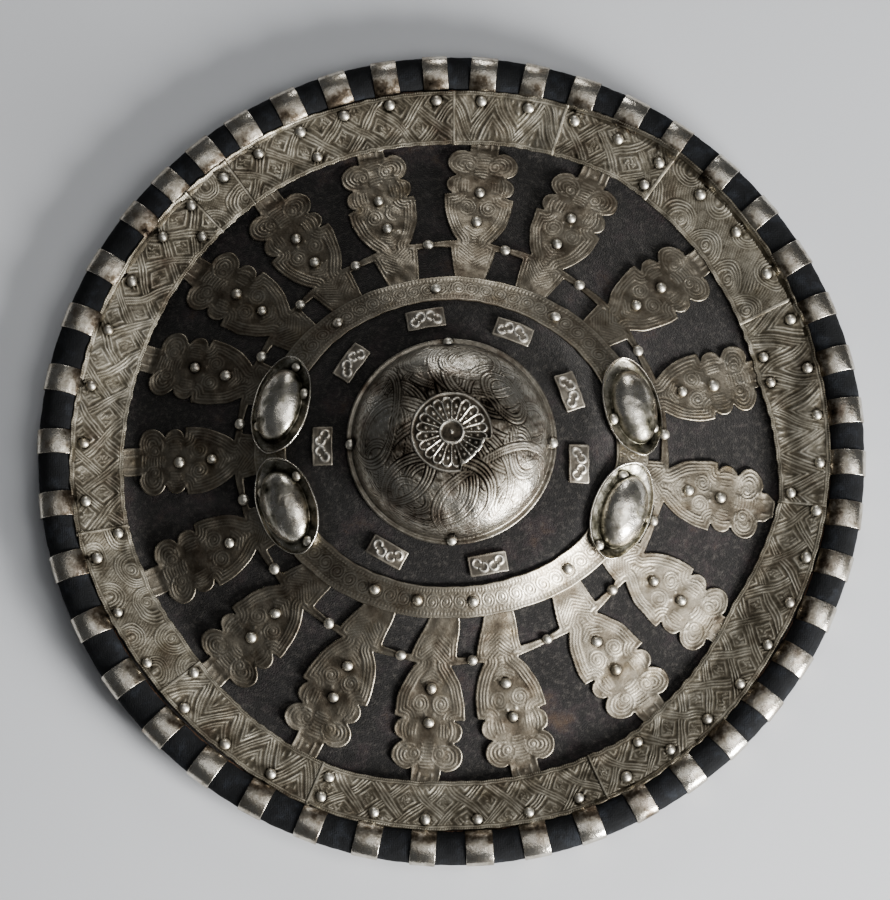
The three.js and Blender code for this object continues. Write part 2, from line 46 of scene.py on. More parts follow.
# Plan and section of the hide's front, the same as the solids'
SHIELD_RADIUS = 250
BAND_RADIUS = 228
VALLEY_RADIUS = 190
WAIST_RADIUS = 130
RING_OUTER = 105
RING_INNER = 88
RING_SPREAD = 0.13
DOME_RADIUS = 61.5
FRONT_KNOTS = [(61.5, 58.5), (88, 54), (105, 41), (130, 29), (190, 8), (228, 14)]
BACK_KNOTS = [(61.5, 50.5), (88, 46), (105, 33), (130, 21), (183, 0), (197, 0), (228, 6)]
FRONT_ROUNDING = 7
BACK_ROUNDING = 3
UMBO_RADIUS = 52.6
UMBO_HEIGHT = 24.8
HIDE = 8
VELVET = 1.2
METAL = 0.9
GAP = 0.3
VELVET_LIFT = GAP
METAL_LIFT = 2 * GAP + VELVET
HIDE_FACETS = 96
HIDE_SWELL = 1.1
VELVET_GRID = (360, 130)

# Rolled rim and its strips
RIM_CENTRE = (238.9, 14.3)
RIM_REACH = (9.5, 5.2)
RIM_CLOTH = 0.8
STRIP_COUNT = 45
STRIP_WIDTH = 15.7
STRIP_THICKNESS = 0.8
RIM_GRID = (720, 44)
RIM_UNDER_COLUMNS = [0, 8, 17, 26, 35, 43]
CLOTH_TURN = (205, -140)
STRIP_DRIFT = [
    (0, 4.7), (4, 2.6), (9, 3.6), (14, 1.7), (18, -0.2), (24, 0.1),
    (28, 2.2), (32, 7), (35, 10.8), (37, 12), (40, 8.2), (45, 5),
]

# Band plates: where each begins, how far the inner edge wanders, and how far the outer edge laps the rim
BAND_SEAMS = [0, 17.4, 35.6, 64, 97.2, 155.4, 201.8, 230, 257.6, 315, 322.6, 360]
BAND_WANDER = [
    (0, 5), (30, 10), (45, 7), (75, 1), (97, 9), (118, 1), (150, 10.5),
    (180, 7.5), (201, 12), (235, 5), (257, 9), (285, 6.5), (330, 7.5), (360, 5),
]
BAND_LAP = [
    (0, 227.6), (17, 229.5), (35, 234), (50, 231.5), (64, 229.6), (88, 228.4), (120, 227), (150, 230.6),
    (168, 228.4), (180, 228), (201, 229.8), (218, 226.8), (235, 226.4), (258, 230.3), (280, 229.6),
    (300, 230.6), (330, 229.8), (345, 227.8), (360, 227.6),
]
BAND_CELL = 0.6
BAND_COLUMNS = 64
BAND_WORK_HEIGHT = 0.48
PLATE_OVERLAP = 0.75
BORDER = 2.8
END_BORDER = 2.4
CORD_PITCH = 1.65
EDGE_STUDS = [34.6, 71.6, 76.3, 96, 147.3, 200.6, 229.6, 257, 312.3, 336.5]
EDGE_STUD_INSET = 7
STUD_INSET = 6

# Leaves
LEAF_BEARINGS = [
    6, 26.2, 50.6, 74.6, 99, 122.8, 143, 167, 184.8, 205.6, 227.2, 247.6, 268.6, 289.4, 307.6, 325, 344.4,
]
LEAF_LENGTH = 59.7
LEAF_HALF = 22
BLADE_END = 30
SMALL_LOBE = (37, 14.6)
LOBE = (51.2, 10.5)
LOBE_REACH = (8.5, 10.5)
WAIST_HALF = 10
NECK_HALF = 14
NECK_END_HALF = 6
TAB_HALF = 8.6
ARM_WIDTH = 4.2
ARM_LEAD = 1.5
BARE_LEAF = 11
SHORT_LEAF = 4
LINE_PITCH = 1.8
LEAF_CELL = 0.62
LEAF_WORK_HEIGHT = 0.45
TUCKED_TAB = 14
SHORT_TAB = 8.5

# Middle
RING_GRID = (1120, 28)
RING_WORK_HEIGHT = 0.35
RING_BORDER = 3.3
SCROLL_PITCH = 8.9
SCROLL_RADIUS = 4.7
RING_STUDS = [38, 137, 172.3, 192.2, 207.6, 318, 354.4]
BOSS_HALF = (31, 18)
BOSS_FLARE = 1.5
BOSS_DOME_HALF = (23, 14.6)
BOSS_DOME_HEIGHT = 12
BOSS_DOME_OUT = 1.8
BOSS_LIFT = METAL_LIFT + METAL + GAP
BOSS_ROWS = 112
BOSSES = [
    (77.2, 110, [(6, -14), (14, 12.4)]),
    (111, 108, [(-20, -7), (25, -5), (-3, 14)]),
    (249.6, 104, [(14, -12.5), (-25, -4), (14, 13)]),
    (283.7, 104, [(25, -3), (9, -13), (-14, 13)]),
]
PLAQUES = [
    (348.4, 1.6), (28.5, -8.5), (66.2, 4), (99.7, -9.7), (163.6, 6), (209.9, 0), (268.3, 1.7), (309.2, -4),
]
PLAQUE_RADIUS = 77.3
PLAQUE_HALF = (11.75, 6)
PLAQUE_ROUNDING = 0.7
PLAQUE_CELL = 0.4
PLAQUE_WORK_HEIGHT = 0.6
DOME_BULGE = 59.6
DOME_HEIGHT = 26
DOME_SQUARENESS = 2.6
DOME_FOOT = FRONT_KNOTS[0][1] + METAL_LIFT
DOME_STUDS = [358, 91, 180, 268]
DOME_GRID = (464, 92)
DOME_UNDER_COLUMNS = [0, 15, 30, 45, 60, 72, 82, 90, 96]
DOME_WORK_HEIGHT = 0.35
DOME_LOOPS = 26
LOOP_RADII = [10, 14, 19, 28, 40]
GOLDEN_TURN = 137.5
ROSETTE_RADIUS = 24.5
ROSETTE_SPOKES = 20
ROSETTE_BREAK = (98, 168)
ROSETTE_GRID = (360, 46)
ROSETTE_WORK_HEIGHT = 0.8
ROSETTE_HUB = 6.9
ROSETTE_ARCH_RADIUS = 18.4
TORN_BITE = 4.6
TORN_LIFT = 4.2
STUD_RADIUS = 3.4
STUD_HEIGHT = 2.8
NAIL_END_RADIUS = 2.1
NAIL_END_HEIGHT = 0.9

# Grip on the back
GRIP_HALF = 75
GRIP_WIDTH = 28
GRIP_THICKNESS = 5
GRIP_PAD = 22
GRIP_DROP = 34

# Camera, matched to the rim's outline and to how far the middle leans up the picture
CAMERA_TILT = 12.2
CAMERA_DISTANCE = 6000
MM_PER_PIXEL = 0.603
IMAGE_HEIGHT = 900
SENSOR = 36
RIM_CENTRE_OFF = (3.9, -4.8)


# Plan geometry
def plan(bearing, radius):
    turn = np.asarray(bearing) * DEGREE
    return radius * np.sin(turn), radius * np.cos(turn)


def beside(bearing, outward, sideways):
    x, y = plan(bearing, outward)
    along_x, along_y = plan(bearing + 90, sideways)
    return x + along_x, y + along_y


def turned(bearing, radius, height):
    """Points from bearings, radii in plan and heights"""
    return np.stack(np.broadcast_arrays(*plan(bearing, radius), height), -1)


def between(knots, at):
    places, values = zip(*knots)
    return np.interp(at, places, values)


def wander(knots, bearing):
    return between(knots, np.asarray(bearing) % 360)


def step(value, low, high):
    share = np.clip((value - low) / (high - low), 0, 1)
    return share * share * (3 - 2 * share)


# Smooth front of the hide, and the bed that the plates near the rim lie on
FINE = np.arange(0, SHIELD_RADIUS + 20, 0.5)


def rounded(height, reach):
    kernel = np.ones(4 * reach + 1) / (4 * reach + 1)
    return np.convolve(np.pad(height, 2 * reach, mode="edge"), kernel, mode="valid")


FRONT_LINE = rounded(between(FRONT_KNOTS, FINE), FRONT_ROUNDING)
RIM_TOP = RIM_CENTRE[1] + (RIM_REACH[1] + RIM_CLOTH) * np.sqrt(
    np.clip(1 - ((FINE - RIM_CENTRE[0]) / (RIM_REACH[0] + RIM_CLOTH)) ** 2, 0, 1)
)
BED_LINE = rounded(np.maximum(FRONT_LINE + VELVET_LIFT + VELVET, np.where(FINE > BAND_RADIUS, RIM_TOP, 0)), 1)


def on_line(line, x, y, base, lift=0.0):
    """Points over a plan place, raised by base and then by lift along the surface's normal"""
    radius = np.maximum(np.hypot(x, y), 1e-6)
    height = np.interp(radius, FINE, line)
    slope = np.interp(radius, FINE, np.gradient(line, FINE))
    lean = 1 / np.sqrt(1 + slope ** 2)
    return np.stack([
        x - slope * lean * lift * x / radius,
        y - slope * lean * lift * y / radius,
        height + base + lean * lift,
    ], -1)


def facing(line, x, y):
    return on_line(line, x, y, 0, 1) - on_line(line, x, y, 0, 0)


# Marks of the chaser's tools: heights from 0 to 1 as functions of a place or of a distance to a line
def ridge(distance, half):
    return np.exp(-(distance / half) ** 2)


def comb(phase, sharpness=1.7):
    return (0.5 + 0.5 * np.cos(2 * math.pi * phase)) ** sharpness


def lines(distance, pitch, count):
    """Parallel lines with the middle one, or the middle gap when their count is even, on the line itself"""
    half = pitch * count / 2
    shift = 0 if count % 2 else 0.5
    return comb(distance / pitch + shift) * step(-abs(distance), -half, 0.2 * pitch - half)


def inside_lines(distance, pitch, count):
    return np.abs(distance) < pitch * count / 2


def volute(u, v, centre, radius, pitch, hand):
    du, dv = u - centre[0], v - centre[1]
    reach = np.hypot(du, dv)
    turn = np.arctan2(dv, du) / (2 * math.pi)
    curl = comb(reach / pitch + hand * turn) * step(-reach, -radius, -radius + pitch * 0.6)
    return np.where(reach < radius, np.maximum(curl, ridge(reach, pitch * 0.55)), 0), reach < radius


def dents(u, v, seed, size):
    """Slow hand-made unevenness, about -1 to 1"""
    draw = np.random.default_rng(seed)
    total = 0.0
    for _ in range(6):
        turn, phase = draw.uniform(0, 2 * math.pi, 2)
        wave = size * draw.uniform(0.7, 1.7)
        total = total + np.sin(2 * math.pi * (u * math.cos(turn) + v * math.sin(turn)) / wave + phase)
    return total / 3.2


def spots(u, v, places, size):
    return np.maximum.reduce([ridge(np.hypot(u - a, v - b), size) for a, b in places])


def stud_grime_and_shade(points):
    """1 in the ring round each stud, darkened both by the black grime that polishing never reaches and as
    painted shade where the head meets the plate, 0 away from it
    """
    away = np.full(len(points), np.inf)
    for x, y, _ in STUDS:
        away = np.minimum(away, np.hypot(points[:, 0] - x, points[:, 1] - y))
    return ridge(away - STUD_RADIUS + 0.2, 1.3) + (away < STUD_RADIUS - 0.2)


# Mesh building
def placed(name, data):
    thing = bpy.data.objects.new(name, data)
    bpy.context.scene.collection.objects.link(thing)
    return thing


def mesh_object(name, points, faces, material, relief=None, smooth=True):
    """faces is a list of index arrays, each (count, corners), or of single long faces"""
    blocks = [np.atleast_2d(np.asarray(block, dtype=np.int32)) for block in faces]
    loops = np.concatenate([block.ravel() for block in blocks])
    sizes = np.concatenate([np.full(len(block), block.shape[1]) for block in blocks])
    starts = np.concatenate([[0], np.cumsum(sizes)[:-1]]).astype(np.int32)
    mesh = bpy.data.meshes.new(name)
    mesh.vertices.add(len(points))
    mesh.vertices.foreach_set("co", (np.asarray(points) * MM).ravel())
    mesh.loops.add(len(loops))
    mesh.loops.foreach_set("vertex_index", loops)
    mesh.polygons.add(len(starts))
    mesh.polygons.foreach_set("loop_start", starts)
    mesh.update(calc_edges=True)
    if smooth:
        mesh.shade_smooth()
    if relief is not None:
        # The ring round each stud is darkened: black grime, and painted shade at the head's foot
        worn = np.asarray(relief) - 0.45 * stud_grime_and_shade(points)
        mesh.attributes.new("relief", "FLOAT", "POINT").data.foreach_set("value", worn.astype(np.float32))
    mesh.materials.append(material)
    return placed(name, mesh)


def quads(grid):
    """Corners of every cell of a grid of point numbers"""
    return np.stack([grid[:-1, :-1], grid[1:, :-1], grid[1:, 1:], grid[:-1, 1:]], -1)


def looks_out(points, faces):
    """Whether the faces round a form look away from its middle"""
    a, b, c = (points[faces[:, k]] for k in range(3))
    return (np.cross(b - a, c - a) * (points[faces].mean(1) - points.mean(0))).sum() > 0


def round_grid(rows, columns):
    """Bearings all the way round down the rows, shares from 0 to 1 across the columns"""
    return np.arange(rows)[:, None] * 360 / rows, np.linspace(0, 1, columns)[None, :]


def outward(points, blocks, sample):
    """Turns every face over if the sample block, which should look up, looks down"""
    a, b, c = (points[sample[:, k]] for k in range(3))
    if np.cross(b - a, c - a)[:, 2].sum() < 0:
        return [np.asarray(block)[..., ::-1] for block in blocks]
    return blocks


def woven(name, top, under, material, relief=None, closed=False, pole=False):
    """Closed plate from a grid of points and a coarser grid below it with the same rows"""
    rows, across = top.shape[:2]
    below = under.shape[1]
    upper = np.arange(rows * across).reshape(rows, across)
    lower = rows * across + np.arange(rows * below).reshape(rows, below)
    if pole:
        upper[:, 0] = upper[0, 0]
        lower[:, 0] = lower[0, 0]
    points = np.concatenate([top.reshape(-1, 3), under.reshape(-1, 3)])
    if closed:
        upper = np.vstack([upper, upper[:1]])
        lower = np.vstack([lower, lower[:1]])
    top_faces, under_faces = quads(upper), quads(lower)[..., ::-1]
    blocks = []
    if pole:
        blocks += [top_faces[:, 0, [0, 2, 3]], under_faces[:, 0, [0, 1, 3]]]
        top_faces, under_faces = top_faces[:, 1:], under_faces[:, 1:]
    else:
        blocks.append(np.stack([upper[1:, 0], upper[:-1, 0], lower[:-1, 0], lower[1:, 0]], -1))
    blocks.append(np.stack([upper[:-1, -1], upper[1:, -1], lower[1:, -1], lower[:-1, -1]], -1))
    blocks += [top_faces.reshape(-1, 4), under_faces.reshape(-1, 4)]
    sample = blocks[-2]
    if not closed:
        blocks.append(np.concatenate([upper[0], lower[0][::-1]])[None])
        blocks.append(np.concatenate([upper[-1][::-1], lower[-1]])[None])
    blocks = outward(points, blocks, sample)
    if relief is not None:
        relief = np.concatenate([relief.ravel(), np.zeros(rows * below)])
    return mesh_object(name, points, blocks, material, relief)


def laid(name, line, x, y, seat, lift, marks, work_height, coarse, material, closed=False):
    """Plate over a grid of plan places, its underside METAL below the top as it is without the marks"""
    top = on_line(line, x, y, seat, work_height * marks + lift)
    few = np.linspace(0, x.shape[1] - 1, coarse).astype(int)
    under = on_line(line, x[:, few], y[:, few], seat, lift[:, few] - METAL)
    return woven(name, top, under, material, np.clip(marks, 0, 1), closed=closed)


def flat_grid(extent, cell):
    low_u, high_u, low_v, high_v = extent
    u, v = np.meshgrid(np.arange(low_u, high_u, cell), np.arange(low_v, high_v, cell), indexing="ij")
    return u.ravel(), v.ravel(), u.shape


def trimmed(name, distance, extent, cell, place, marks, material, field=None):
    """Closed plate cut to an outline. distance(u, v) is negative inside it, marks(u, v, depth) gives the
    raised work in millimetres, and place(u, v, lift, depth) puts a point on the shield"""
    u, v, shape = flat_grid(extent, cell)
    away = distance(u, v) if field is None else field
    grid = np.arange(u.size).reshape(shape)
    corners = quads(grid).reshape(-1, 4)
    corners = corners[away[corners].mean(1) < 0]
    used, corners = np.unique(corners, return_inverse=True)
    corners = corners.reshape(-1, 4)
    u, v, away = u[used].copy(), v[used].copy(), away[used].copy()

    start = corners.ravel()
    end = np.roll(corners, -1, axis=1).ravel()
    open_edge = ~np.isin(end * u.size + start, start * u.size + end)
    start, end = start[open_edge], end[open_edge]
    edge = np.unique(start)
    for _ in range(3):
        probe = cell * 0.2
        here = distance(u[edge], v[edge])
        du = (distance(u[edge] + probe, v[edge]) - here) / probe
        dv = (distance(u[edge], v[edge] + probe) - here) / probe
        size = np.maximum(np.hypot(du, dv), 0.5)
        u[edge] -= np.clip(here, -cell, cell) * du / size ** 2
        v[edge] -= np.clip(here, -cell, cell) * dv / size ** 2
    away[edge] = 0
    depth = np.maximum(-away, 0)

    coarse = max(cell * 10, 4)
    inner_u, inner_v, _ = flat_grid(extent, coarse)
    deep = distance(inner_u, inner_v) < -coarse / 3
    flat = [Vector(pair) for pair in zip(u[edge], v[edge])]
    flat += [Vector(pair) for pair in zip(inner_u[deep], inner_v[deep])]
    number = {vertex: i for i, vertex in enumerate(edge)}
    rails = [(number[a], number[b]) for a, b in zip(start, end)]
    found, _, triangles, sources, _, _ = delaunay_2d_cdt(flat, rails, [], 1, 1e-4)
    under = np.array([tuple(point) for point in found])
    home = {source: i for i, group in enumerate(sources) for source in group}

    raised = marks(u, v, depth)
    top = place(u, v, raised, depth)
    below = place(under[:, 0], under[:, 1], np.full(len(under), -METAL), np.zeros(len(under)))
    points = np.concatenate([top, below])
    count = len(u)
    floor = np.array([count + home[number[vertex]] for vertex in start])
    floor_end = np.array([count + home[number[vertex]] for vertex in end])
    blocks = [
        corners,
        np.stack([end, start, floor, floor_end], -1),
        np.array([triangle[::-1] for triangle in triangles]) + count,
    ]
    blocks = outward(points, blocks, corners)
    peak = max(raised.max(), 1e-6)
    relief = np.concatenate([np.clip(raised / peak, 0, 1), np.zeros(len(under))])
    return mesh_object(name, points, blocks, material, relief)


def lathe(name, section, facets, material):
    """Closed ring or cap from a closed section of (radius, height) points"""
    radii, heights = np.asarray(section, float).T
    bearing, _ = round_grid(facets, 1)
    points = turned(bearing, radii, heights).reshape(-1, 3)
    grid = np.arange(facets * len(section)).reshape(facets, -1)
    grid = np.vstack([grid, grid[:1]])
    grid = np.hstack([grid, grid[:, :1]])
    faces = quads(grid).reshape(-1, 4)
    if not looks_out(points, faces):
        faces = faces[:, ::-1]
    thing = mesh_object(name, points, [faces], material)
    thing.data.set_sharp_from_angle(angle=40 * DEGREE)
    return thing


def polygon_distance(outline):
    start = np.asarray(outline, float)
    span = np.roll(start, -1, axis=0) - start
    square = np.maximum((span ** 2).sum(1), 1e-12)

    def distance(u, v):
        ru, rv = u[:, None] - start[:, 0], v[:, None] - start[:, 1]
        share = np.clip((ru * span[:, 0] + rv * span[:, 1]) / square, 0, 1)
        nearest = np.hypot(ru - share * span[:, 0], rv - share * span[:, 1]).min(1)
        crosses = (rv < 0) != (rv < span[:, 1])
        at = rv * span[:, 0] / np.where(span[:, 1] == 0, 1e-9, span[:, 1])
        odd = (crosses & (ru < at)).sum(1) % 2 == 1
        return np.where(odd, -nearest, nearest)

    return distance


# Materials
def linear(code):
    values = [int(code[i:i + 2], 16) / 255 for i in (1, 3, 5)]
    return tuple(c / 12.92 if c <= 0.04045 else ((c + 0.055) / 1.055) ** 2.4 for c in values) + (1,)


def fill(tree, node, inputs):
    """Sets a node's inputs; an input is a value, or a socket to link"""
    for key, value in inputs.items():
        if isinstance(value, bpy.types.NodeSocket):
            tree.links.new(value, node.inputs[key])
        else:
            node.inputs[key].default_value = value


def add(tree, kind, inputs=None, **settings):
    """Adds a node with its inputs and settings"""
    node = tree.nodes.new(kind)
    for key, value in settings.items():
        setattr(node, key, value)
    fill(tree, node, inputs or {})
    return node


def noise(tree, place, size, detail=2.0, roughness=0.5):
    """Clouds that measure about size millimetres"""
    return add(tree, "ShaderNodeTexNoise", {
        "Vector": place, "Scale": 1 / (size * MM), "Detail": detail, "Roughness": roughness,
    }).outputs["Fac"]


def ramp(tree, value, *stops):
    """Tones over a value; a stop is a place with a hex code or with a grey from 0 to 1"""
    node = add(tree, "ShaderNodeValToRGB", {0: value})
    elements = node.color_ramp.elements
    while len(elements) < len(stops):
        elements.new(1)
    for element, (place, tone) in zip(elements, stops):
        element.position = place
        element.color = linear(tone) if isinstance(tone, str) else (tone,) * 3 + (1,)
    return node.outputs["Color"]


def mixed(tree, share, first, second, blend="MIX"):
    mix = add(tree, "ShaderNodeMix", {0: share, 6: first, 7: second}, data_type="RGBA", blend_type=blend)
    return mix.outputs[2]


def calc(tree, operation, *values):
    return add(tree, "ShaderNodeMath", dict(enumerate(values)), operation=operation).outputs[0]


def new_material(name):
    material = bpy.data.materials.new(name)
    material.use_nodes = True
    tree = material.node_tree
    return material, tree, add(tree, "ShaderNodeTexCoord").outputs["Object"]


def dress(material, colour, roughness, height, strength, depth, others=None):
    """Wires the shader: its colour, its roughness and a bump as deep as the millimetres given"""
    tree = material.node_tree
    bump = add(tree, "ShaderNodeBump", {"Height": height, "Strength": strength, "Distance": depth * MM})
    fill(tree, tree.nodes["Principled BSDF"], {
        "Base Color": colour, "Roughness": roughness, "Normal": bump.outputs[0], **(others or {}),
    })
    return material


def chased_metal(name, tones, stain, roughness, tarnish, scratch=0.5, base=0.36, depth=0.5, shaded_within=0):
    """White metal, raised with punches: black tarnish stays in the ground, hands and polishing keep the
    crests pale, and brown to straw-coloured stains drift over both. Given a radius in plan, it is darker
    inside it: painted shade, where the band's edge shades the rim strips"""
    material, tree, place = new_material(name)
    relief = add(tree, "ShaderNodeAttribute", attribute_name="relief").outputs["Fac"]
    drift = noise(tree, place, 35, 4.0, 0.6)
    grime = calc(tree, "ADD", drift, noise(tree, place, 6, 5.0, 0.65))
    ground = calc(tree, "MULTIPLY_ADD", relief, depth, base + tarnish)
    # Painted shade: darker inside the given radius in plan, as the band's edge shades the rim strips
    if shaded_within:
        flat = add(tree, "ShaderNodeVectorMath", {0: place, 1: (1, 1, 0)}, operation="MULTIPLY")
        radius = add(tree, "ShaderNodeVectorMath", {0: flat.outputs[0]}, operation="LENGTH")
        painted_shade = add(tree, "ShaderNodeMapRange", {
            "Value": radius.outputs["Value"], "To Min": -0.45, "To Max": 0.0,
            "From Min": (shaded_within - 7) * MM, "From Max": shaded_within * MM,
        })
        ground = calc(tree, "ADD", ground, painted_shade.outputs[0])
    level = calc(tree, "MULTIPLY_ADD", grime, -tarnish, ground)
    colour = ramp(tree, level, *zip((0.0, 0.3, 0.62, 1.0), tones))
    stained = ramp(tree, noise(tree, place, 20, 6.0, 0.7), (0.5, 0.0), (0.72, 0.75))
    hue = ramp(tree, drift, (0.42, stain), (0.58, "#a58d84"))
    rough = add(tree, "ShaderNodeMapRange", {"Value": level, "To Min": roughness + 0.22, "To Max": roughness})
    colour = mixed(tree, stained, colour, hue, "MULTIPLY")
    pits = noise(tree, place, 1.6, 4.0, 0.6)
    return dress(material, colour, rough.outputs[0], pits, scratch, 0.3, {"Metallic": 1.0})


def velvet_cloth():
    """Worn silk velvet: nearly black pile under pale dust, rubbed brown where the pile has gone"""
    material, tree, place = new_material("worn_silk_velvet")
    pile = ramp(tree, noise(tree, place, 30, 7.0, 0.7),
                (0.35, "#080807"), (0.52, "#100f0f"), (0.6, "#1f191a"), (0.72, "#35291f"))
    dusted = ramp(tree, noise(tree, place, 3, 6.0, 0.75), (0.5, 0.0), (0.72, 0.55))
    colour = mixed(tree, dusted, pile, linear("#4b4742"))
    return dress(material, colour, 0.95, noise(tree, place, 0.9, 3.0), 0.9, 0.8, {
        "Specular IOR Level": 0.15, "Sheen Weight": 0.6, "Sheen Roughness": 0.55,
        "Sheen Tint": linear("#a09c98"),
    })


def rim_cotton():
    """Blue-black cotton over the rim, greyed in places, with its plain weave drawn at about a millimetre"""
    material, tree, place = new_material("faded_indigo_cotton")
    colour = ramp(tree, noise(tree, place, 12, 6.0, 0.7),
                  (0.35, "#050607"), (0.52, "#0b0c0e"), (0.72, "#1f2227"))
    weave = add(tree, "ShaderNodeTexVoronoi", {"Vector": place, "Scale": 1 / (1.1 * MM), "Randomness": 0.5})
    return dress(material, colour, 0.85, weave.outputs["Distance"], 0.6, 0.4, {"Specular IOR Level": 0.2})


def leather(name, dark, light, grain, roughness):
    """Tanned hide with a pebbled grain, creases and darker handled places"""
    material, tree, place = new_material(name)
    colour = ramp(tree, noise(tree, place, 50, 6.0, 0.65), (0.3, dark), (0.7, light))
    cells = add(tree, "ShaderNodeTexVoronoi", {"Vector": place, "Scale": 1 / (grain * MM)},
                feature="DISTANCE_TO_EDGE")
    height = calc(tree, "ADD", cells.outputs["Distance"], noise(tree, place, 11, 8.0, 0.7))
    return dress(material, colour, roughness, height, 0.5, 0.8)


def thread():
    """Straw-coloured waxed thread with a fine twist"""
    material, tree, place = new_material("waxed_linen_thread")
    return dress(material, linear("#8a7a58"), 0.7, noise(tree, place, 0.6), 0.5, 0.2)


# Leaves and inner ring: dull straw grey. Band: darker ground, paler crests. Dome and rosette: brown stains
# and fine pits. Bosses: bright with black mottling. Plaques: nearly clean. Nails: rubbed bright. Strips:
# spotted black, with painted shade over their inner half next to the band's edge.
LEAF_METAL = chased_metal(
    "tarnished_white_metal_leaves", ("#17130f", "#645c4f", "#9c9484", "#d6cfbe"), "#a8966f", 0.3, 0.7)
BAND_METAL = chased_metal(
    "tarnished_white_metal_band", ("#1a1711", "#665f51", "#aaa392", "#e8e1cf"),
    "#989070", 0.3, 0.8, 0.5, 0.27, 0.72)
DOME_METAL = chased_metal(
    "stained_white_metal_dome", ("#0f0c09", "#595247", "#a09a8d", "#dad5c9"),
    "#8a6440", 0.25, 0.8, 0.9, 0.4, 0.7)
BOSS_METAL = chased_metal(
    "mottled_white_metal_bosses", ("#15130c", "#5d5a4c", "#a9a496", "#e2dccf"),
    "#85703f", 0.24, 1.9, 0.55, 0.36, 0.6)
PLAQUE_METAL = chased_metal(
    "dull_white_metal_plaques", ("#1d1a17", "#6c665c", "#b3ab9c", "#efe9dc"),
    "#9c8f7a", 0.34, 0.4, 0.4, 0.32, 0.8)
STUD_METAL = chased_metal(
    "rubbed_white_metal_studs", ("#6b6455", "#b8b1a0", "#d8d2c2", "#ece7d9"), "#b8a680", 0.36, 0.2, 0.15, 0.8)
# The rim strips get painted shade inside 240 mm in plan, over their inner half under the band's edge
RIM_METAL = chased_metal(
    "spotted_white_metal_rim", ("#0f0b08", "#5b5144", "#b0a899", "#dcd6c9"),
    "#86704c", 0.2, 1.5, 0.6, 0.82, 0.5, 240)
VELVET_CLOTH = velvet_cloth()
RIM_COTTON = rim_cotton()
HIDE_LEATHER = leather("raw_hide", "#3a2416", "#7a5434", 2.2, 0.62)
GRIP_LEATHER = leather("grip_leather", "#24160d", "#4f3220", 1.6, 0.5)
THREAD = thread()


# Hide body, flat on its resting ring, with the hollow umbo under the dome
def superellipse(radius, height, base, steps):
    """Dome line from the foot to the crown, where it stops half a millimetre short of the middle"""
    turn = np.linspace(0, math.pi / 2, steps + 1)
    radii = radius * np.cos(turn).clip(0) ** (2 / DOME_SQUARENESS)
    return list(zip(radii.clip(0.5), base + height * np.sin(turn)))


def hide_shell():
    """Front, umbo and back in one section. Its edge swells against the rim's cloth, so no light gets in"""
    front_radii = np.arange(UMBO_RADIUS, BAND_RADIUS, 4)
    front = [(r, np.interp(r, FINE, FRONT_LINE)) for r in [*front_radii, BAND_RADIUS]]
    outer = superellipse(UMBO_RADIUS, UMBO_HEIGHT, FRONT_KNOTS[0][1], 12)
    inner = superellipse(UMBO_RADIUS - HIDE, UMBO_HEIGHT, BACK_KNOTS[0][1], 12)
    back_line = rounded(between(BACK_KNOTS[:-3] + [(183, 0)], FINE), BACK_ROUNDING)
    back = [(r, np.interp(r, FINE, back_line)) for r in np.arange(UMBO_RADIUS, 180, 4)] + BACK_KNOTS[-3:]
    swell = [(BAND_RADIUS + HIDE_SWELL, 10), (BAND_RADIUS + HIDE_SWELL, 13.9)]
    section = front[::-1] + outer + inner[::-1] + [(r, max(z, 0)) for r, z in back] + swell
    return lathe("hide_body", section, HIDE_FACETS, HIDE_LEATHER)


def velvet_cover():
    bearing, share = round_grid(*VELVET_GRID)
    inner = UMBO_RADIUS + 2 * GAP
    x, y = plan(bearing, inner + (BAND_RADIUS - inner) * share)
    radii = np.hypot(x, y)
    slack = 0.25 * dents(x, y, 3, 34) * step(radii, 90, 130) + 0.1 * dents(x, y, 4, 9)
    top = on_line(FRONT_LINE, x, y, VELVET_LIFT + VELVET, slack - 0.2)
    under = on_line(FRONT_LINE, x[:, ::3], y[:, ::3], VELVET_LIFT)
    return woven("velvet", top, under, VELVET_CLOTH, closed=True)


# Rim: a roll of hide, cloth round it, and metal strips over both
def rim_point(bearing, turn, lift):
    reach_r, reach_z = RIM_REACH[0] + lift, RIM_REACH[1] + lift
    return turned(bearing, RIM_CENTRE[0] + reach_r * np.cos(turn), RIM_CENTRE[1] + reach_z * np.sin(turn))


def rim_roll():
    turn = np.arange(20) * 2 * math.pi / 20
    section = np.array(RIM_CENTRE) + (np.array(RIM_REACH) - GAP) * np.stack([np.cos(turn), np.sin(turn)], -1)
    return lathe("rim_roll", section, 180, HIDE_LEATHER)


def rim_cloth():
    bearing, share = round_grid(*RIM_GRID)
    turn = (CLOTH_TURN[0] + (CLOTH_TURN[1] - CLOTH_TURN[0]) * share) * DEGREE
    along = bearing * DEGREE * RIM_CENTRE[0]
    pull = 0.14 * dents(along, turn * 9, 5, 13) + 0.09 * dents(along, turn * 9, 6, 5)
    top = rim_point(bearing, turn, RIM_CLOTH - 0.15 + pull)
    under = rim_point(bearing, turn[:, RIM_UNDER_COLUMNS], 0.1)
    return woven("rim_cloth", top, under, RIM_COTTON, closed=True)


def strip_bearings():
    index = np.arange(STRIP_COUNT)
    return 360 / STRIP_COUNT * index + between(STRIP_DRIFT, index)


def new_tree(name, sizes):
    tree = bpy.data.node_groups.new(name, "GeometryNodeTree")
    tree.interface.new_socket("Geometry", in_out="INPUT", socket_type="NodeSocketGeometry")
    for size in sizes:
        kind = "NodeSocketInt" if size == "Seed" else "NodeSocketFloat"
        tree.interface.new_socket(size, in_out="INPUT", socket_type=kind)
    tree.interface.new_socket("Geometry", in_out="OUTPUT", socket_type="NodeSocketGeometry")
    return tree, add(tree, "NodeGroupInput").outputs, add(tree, "NodeGroupOutput").inputs


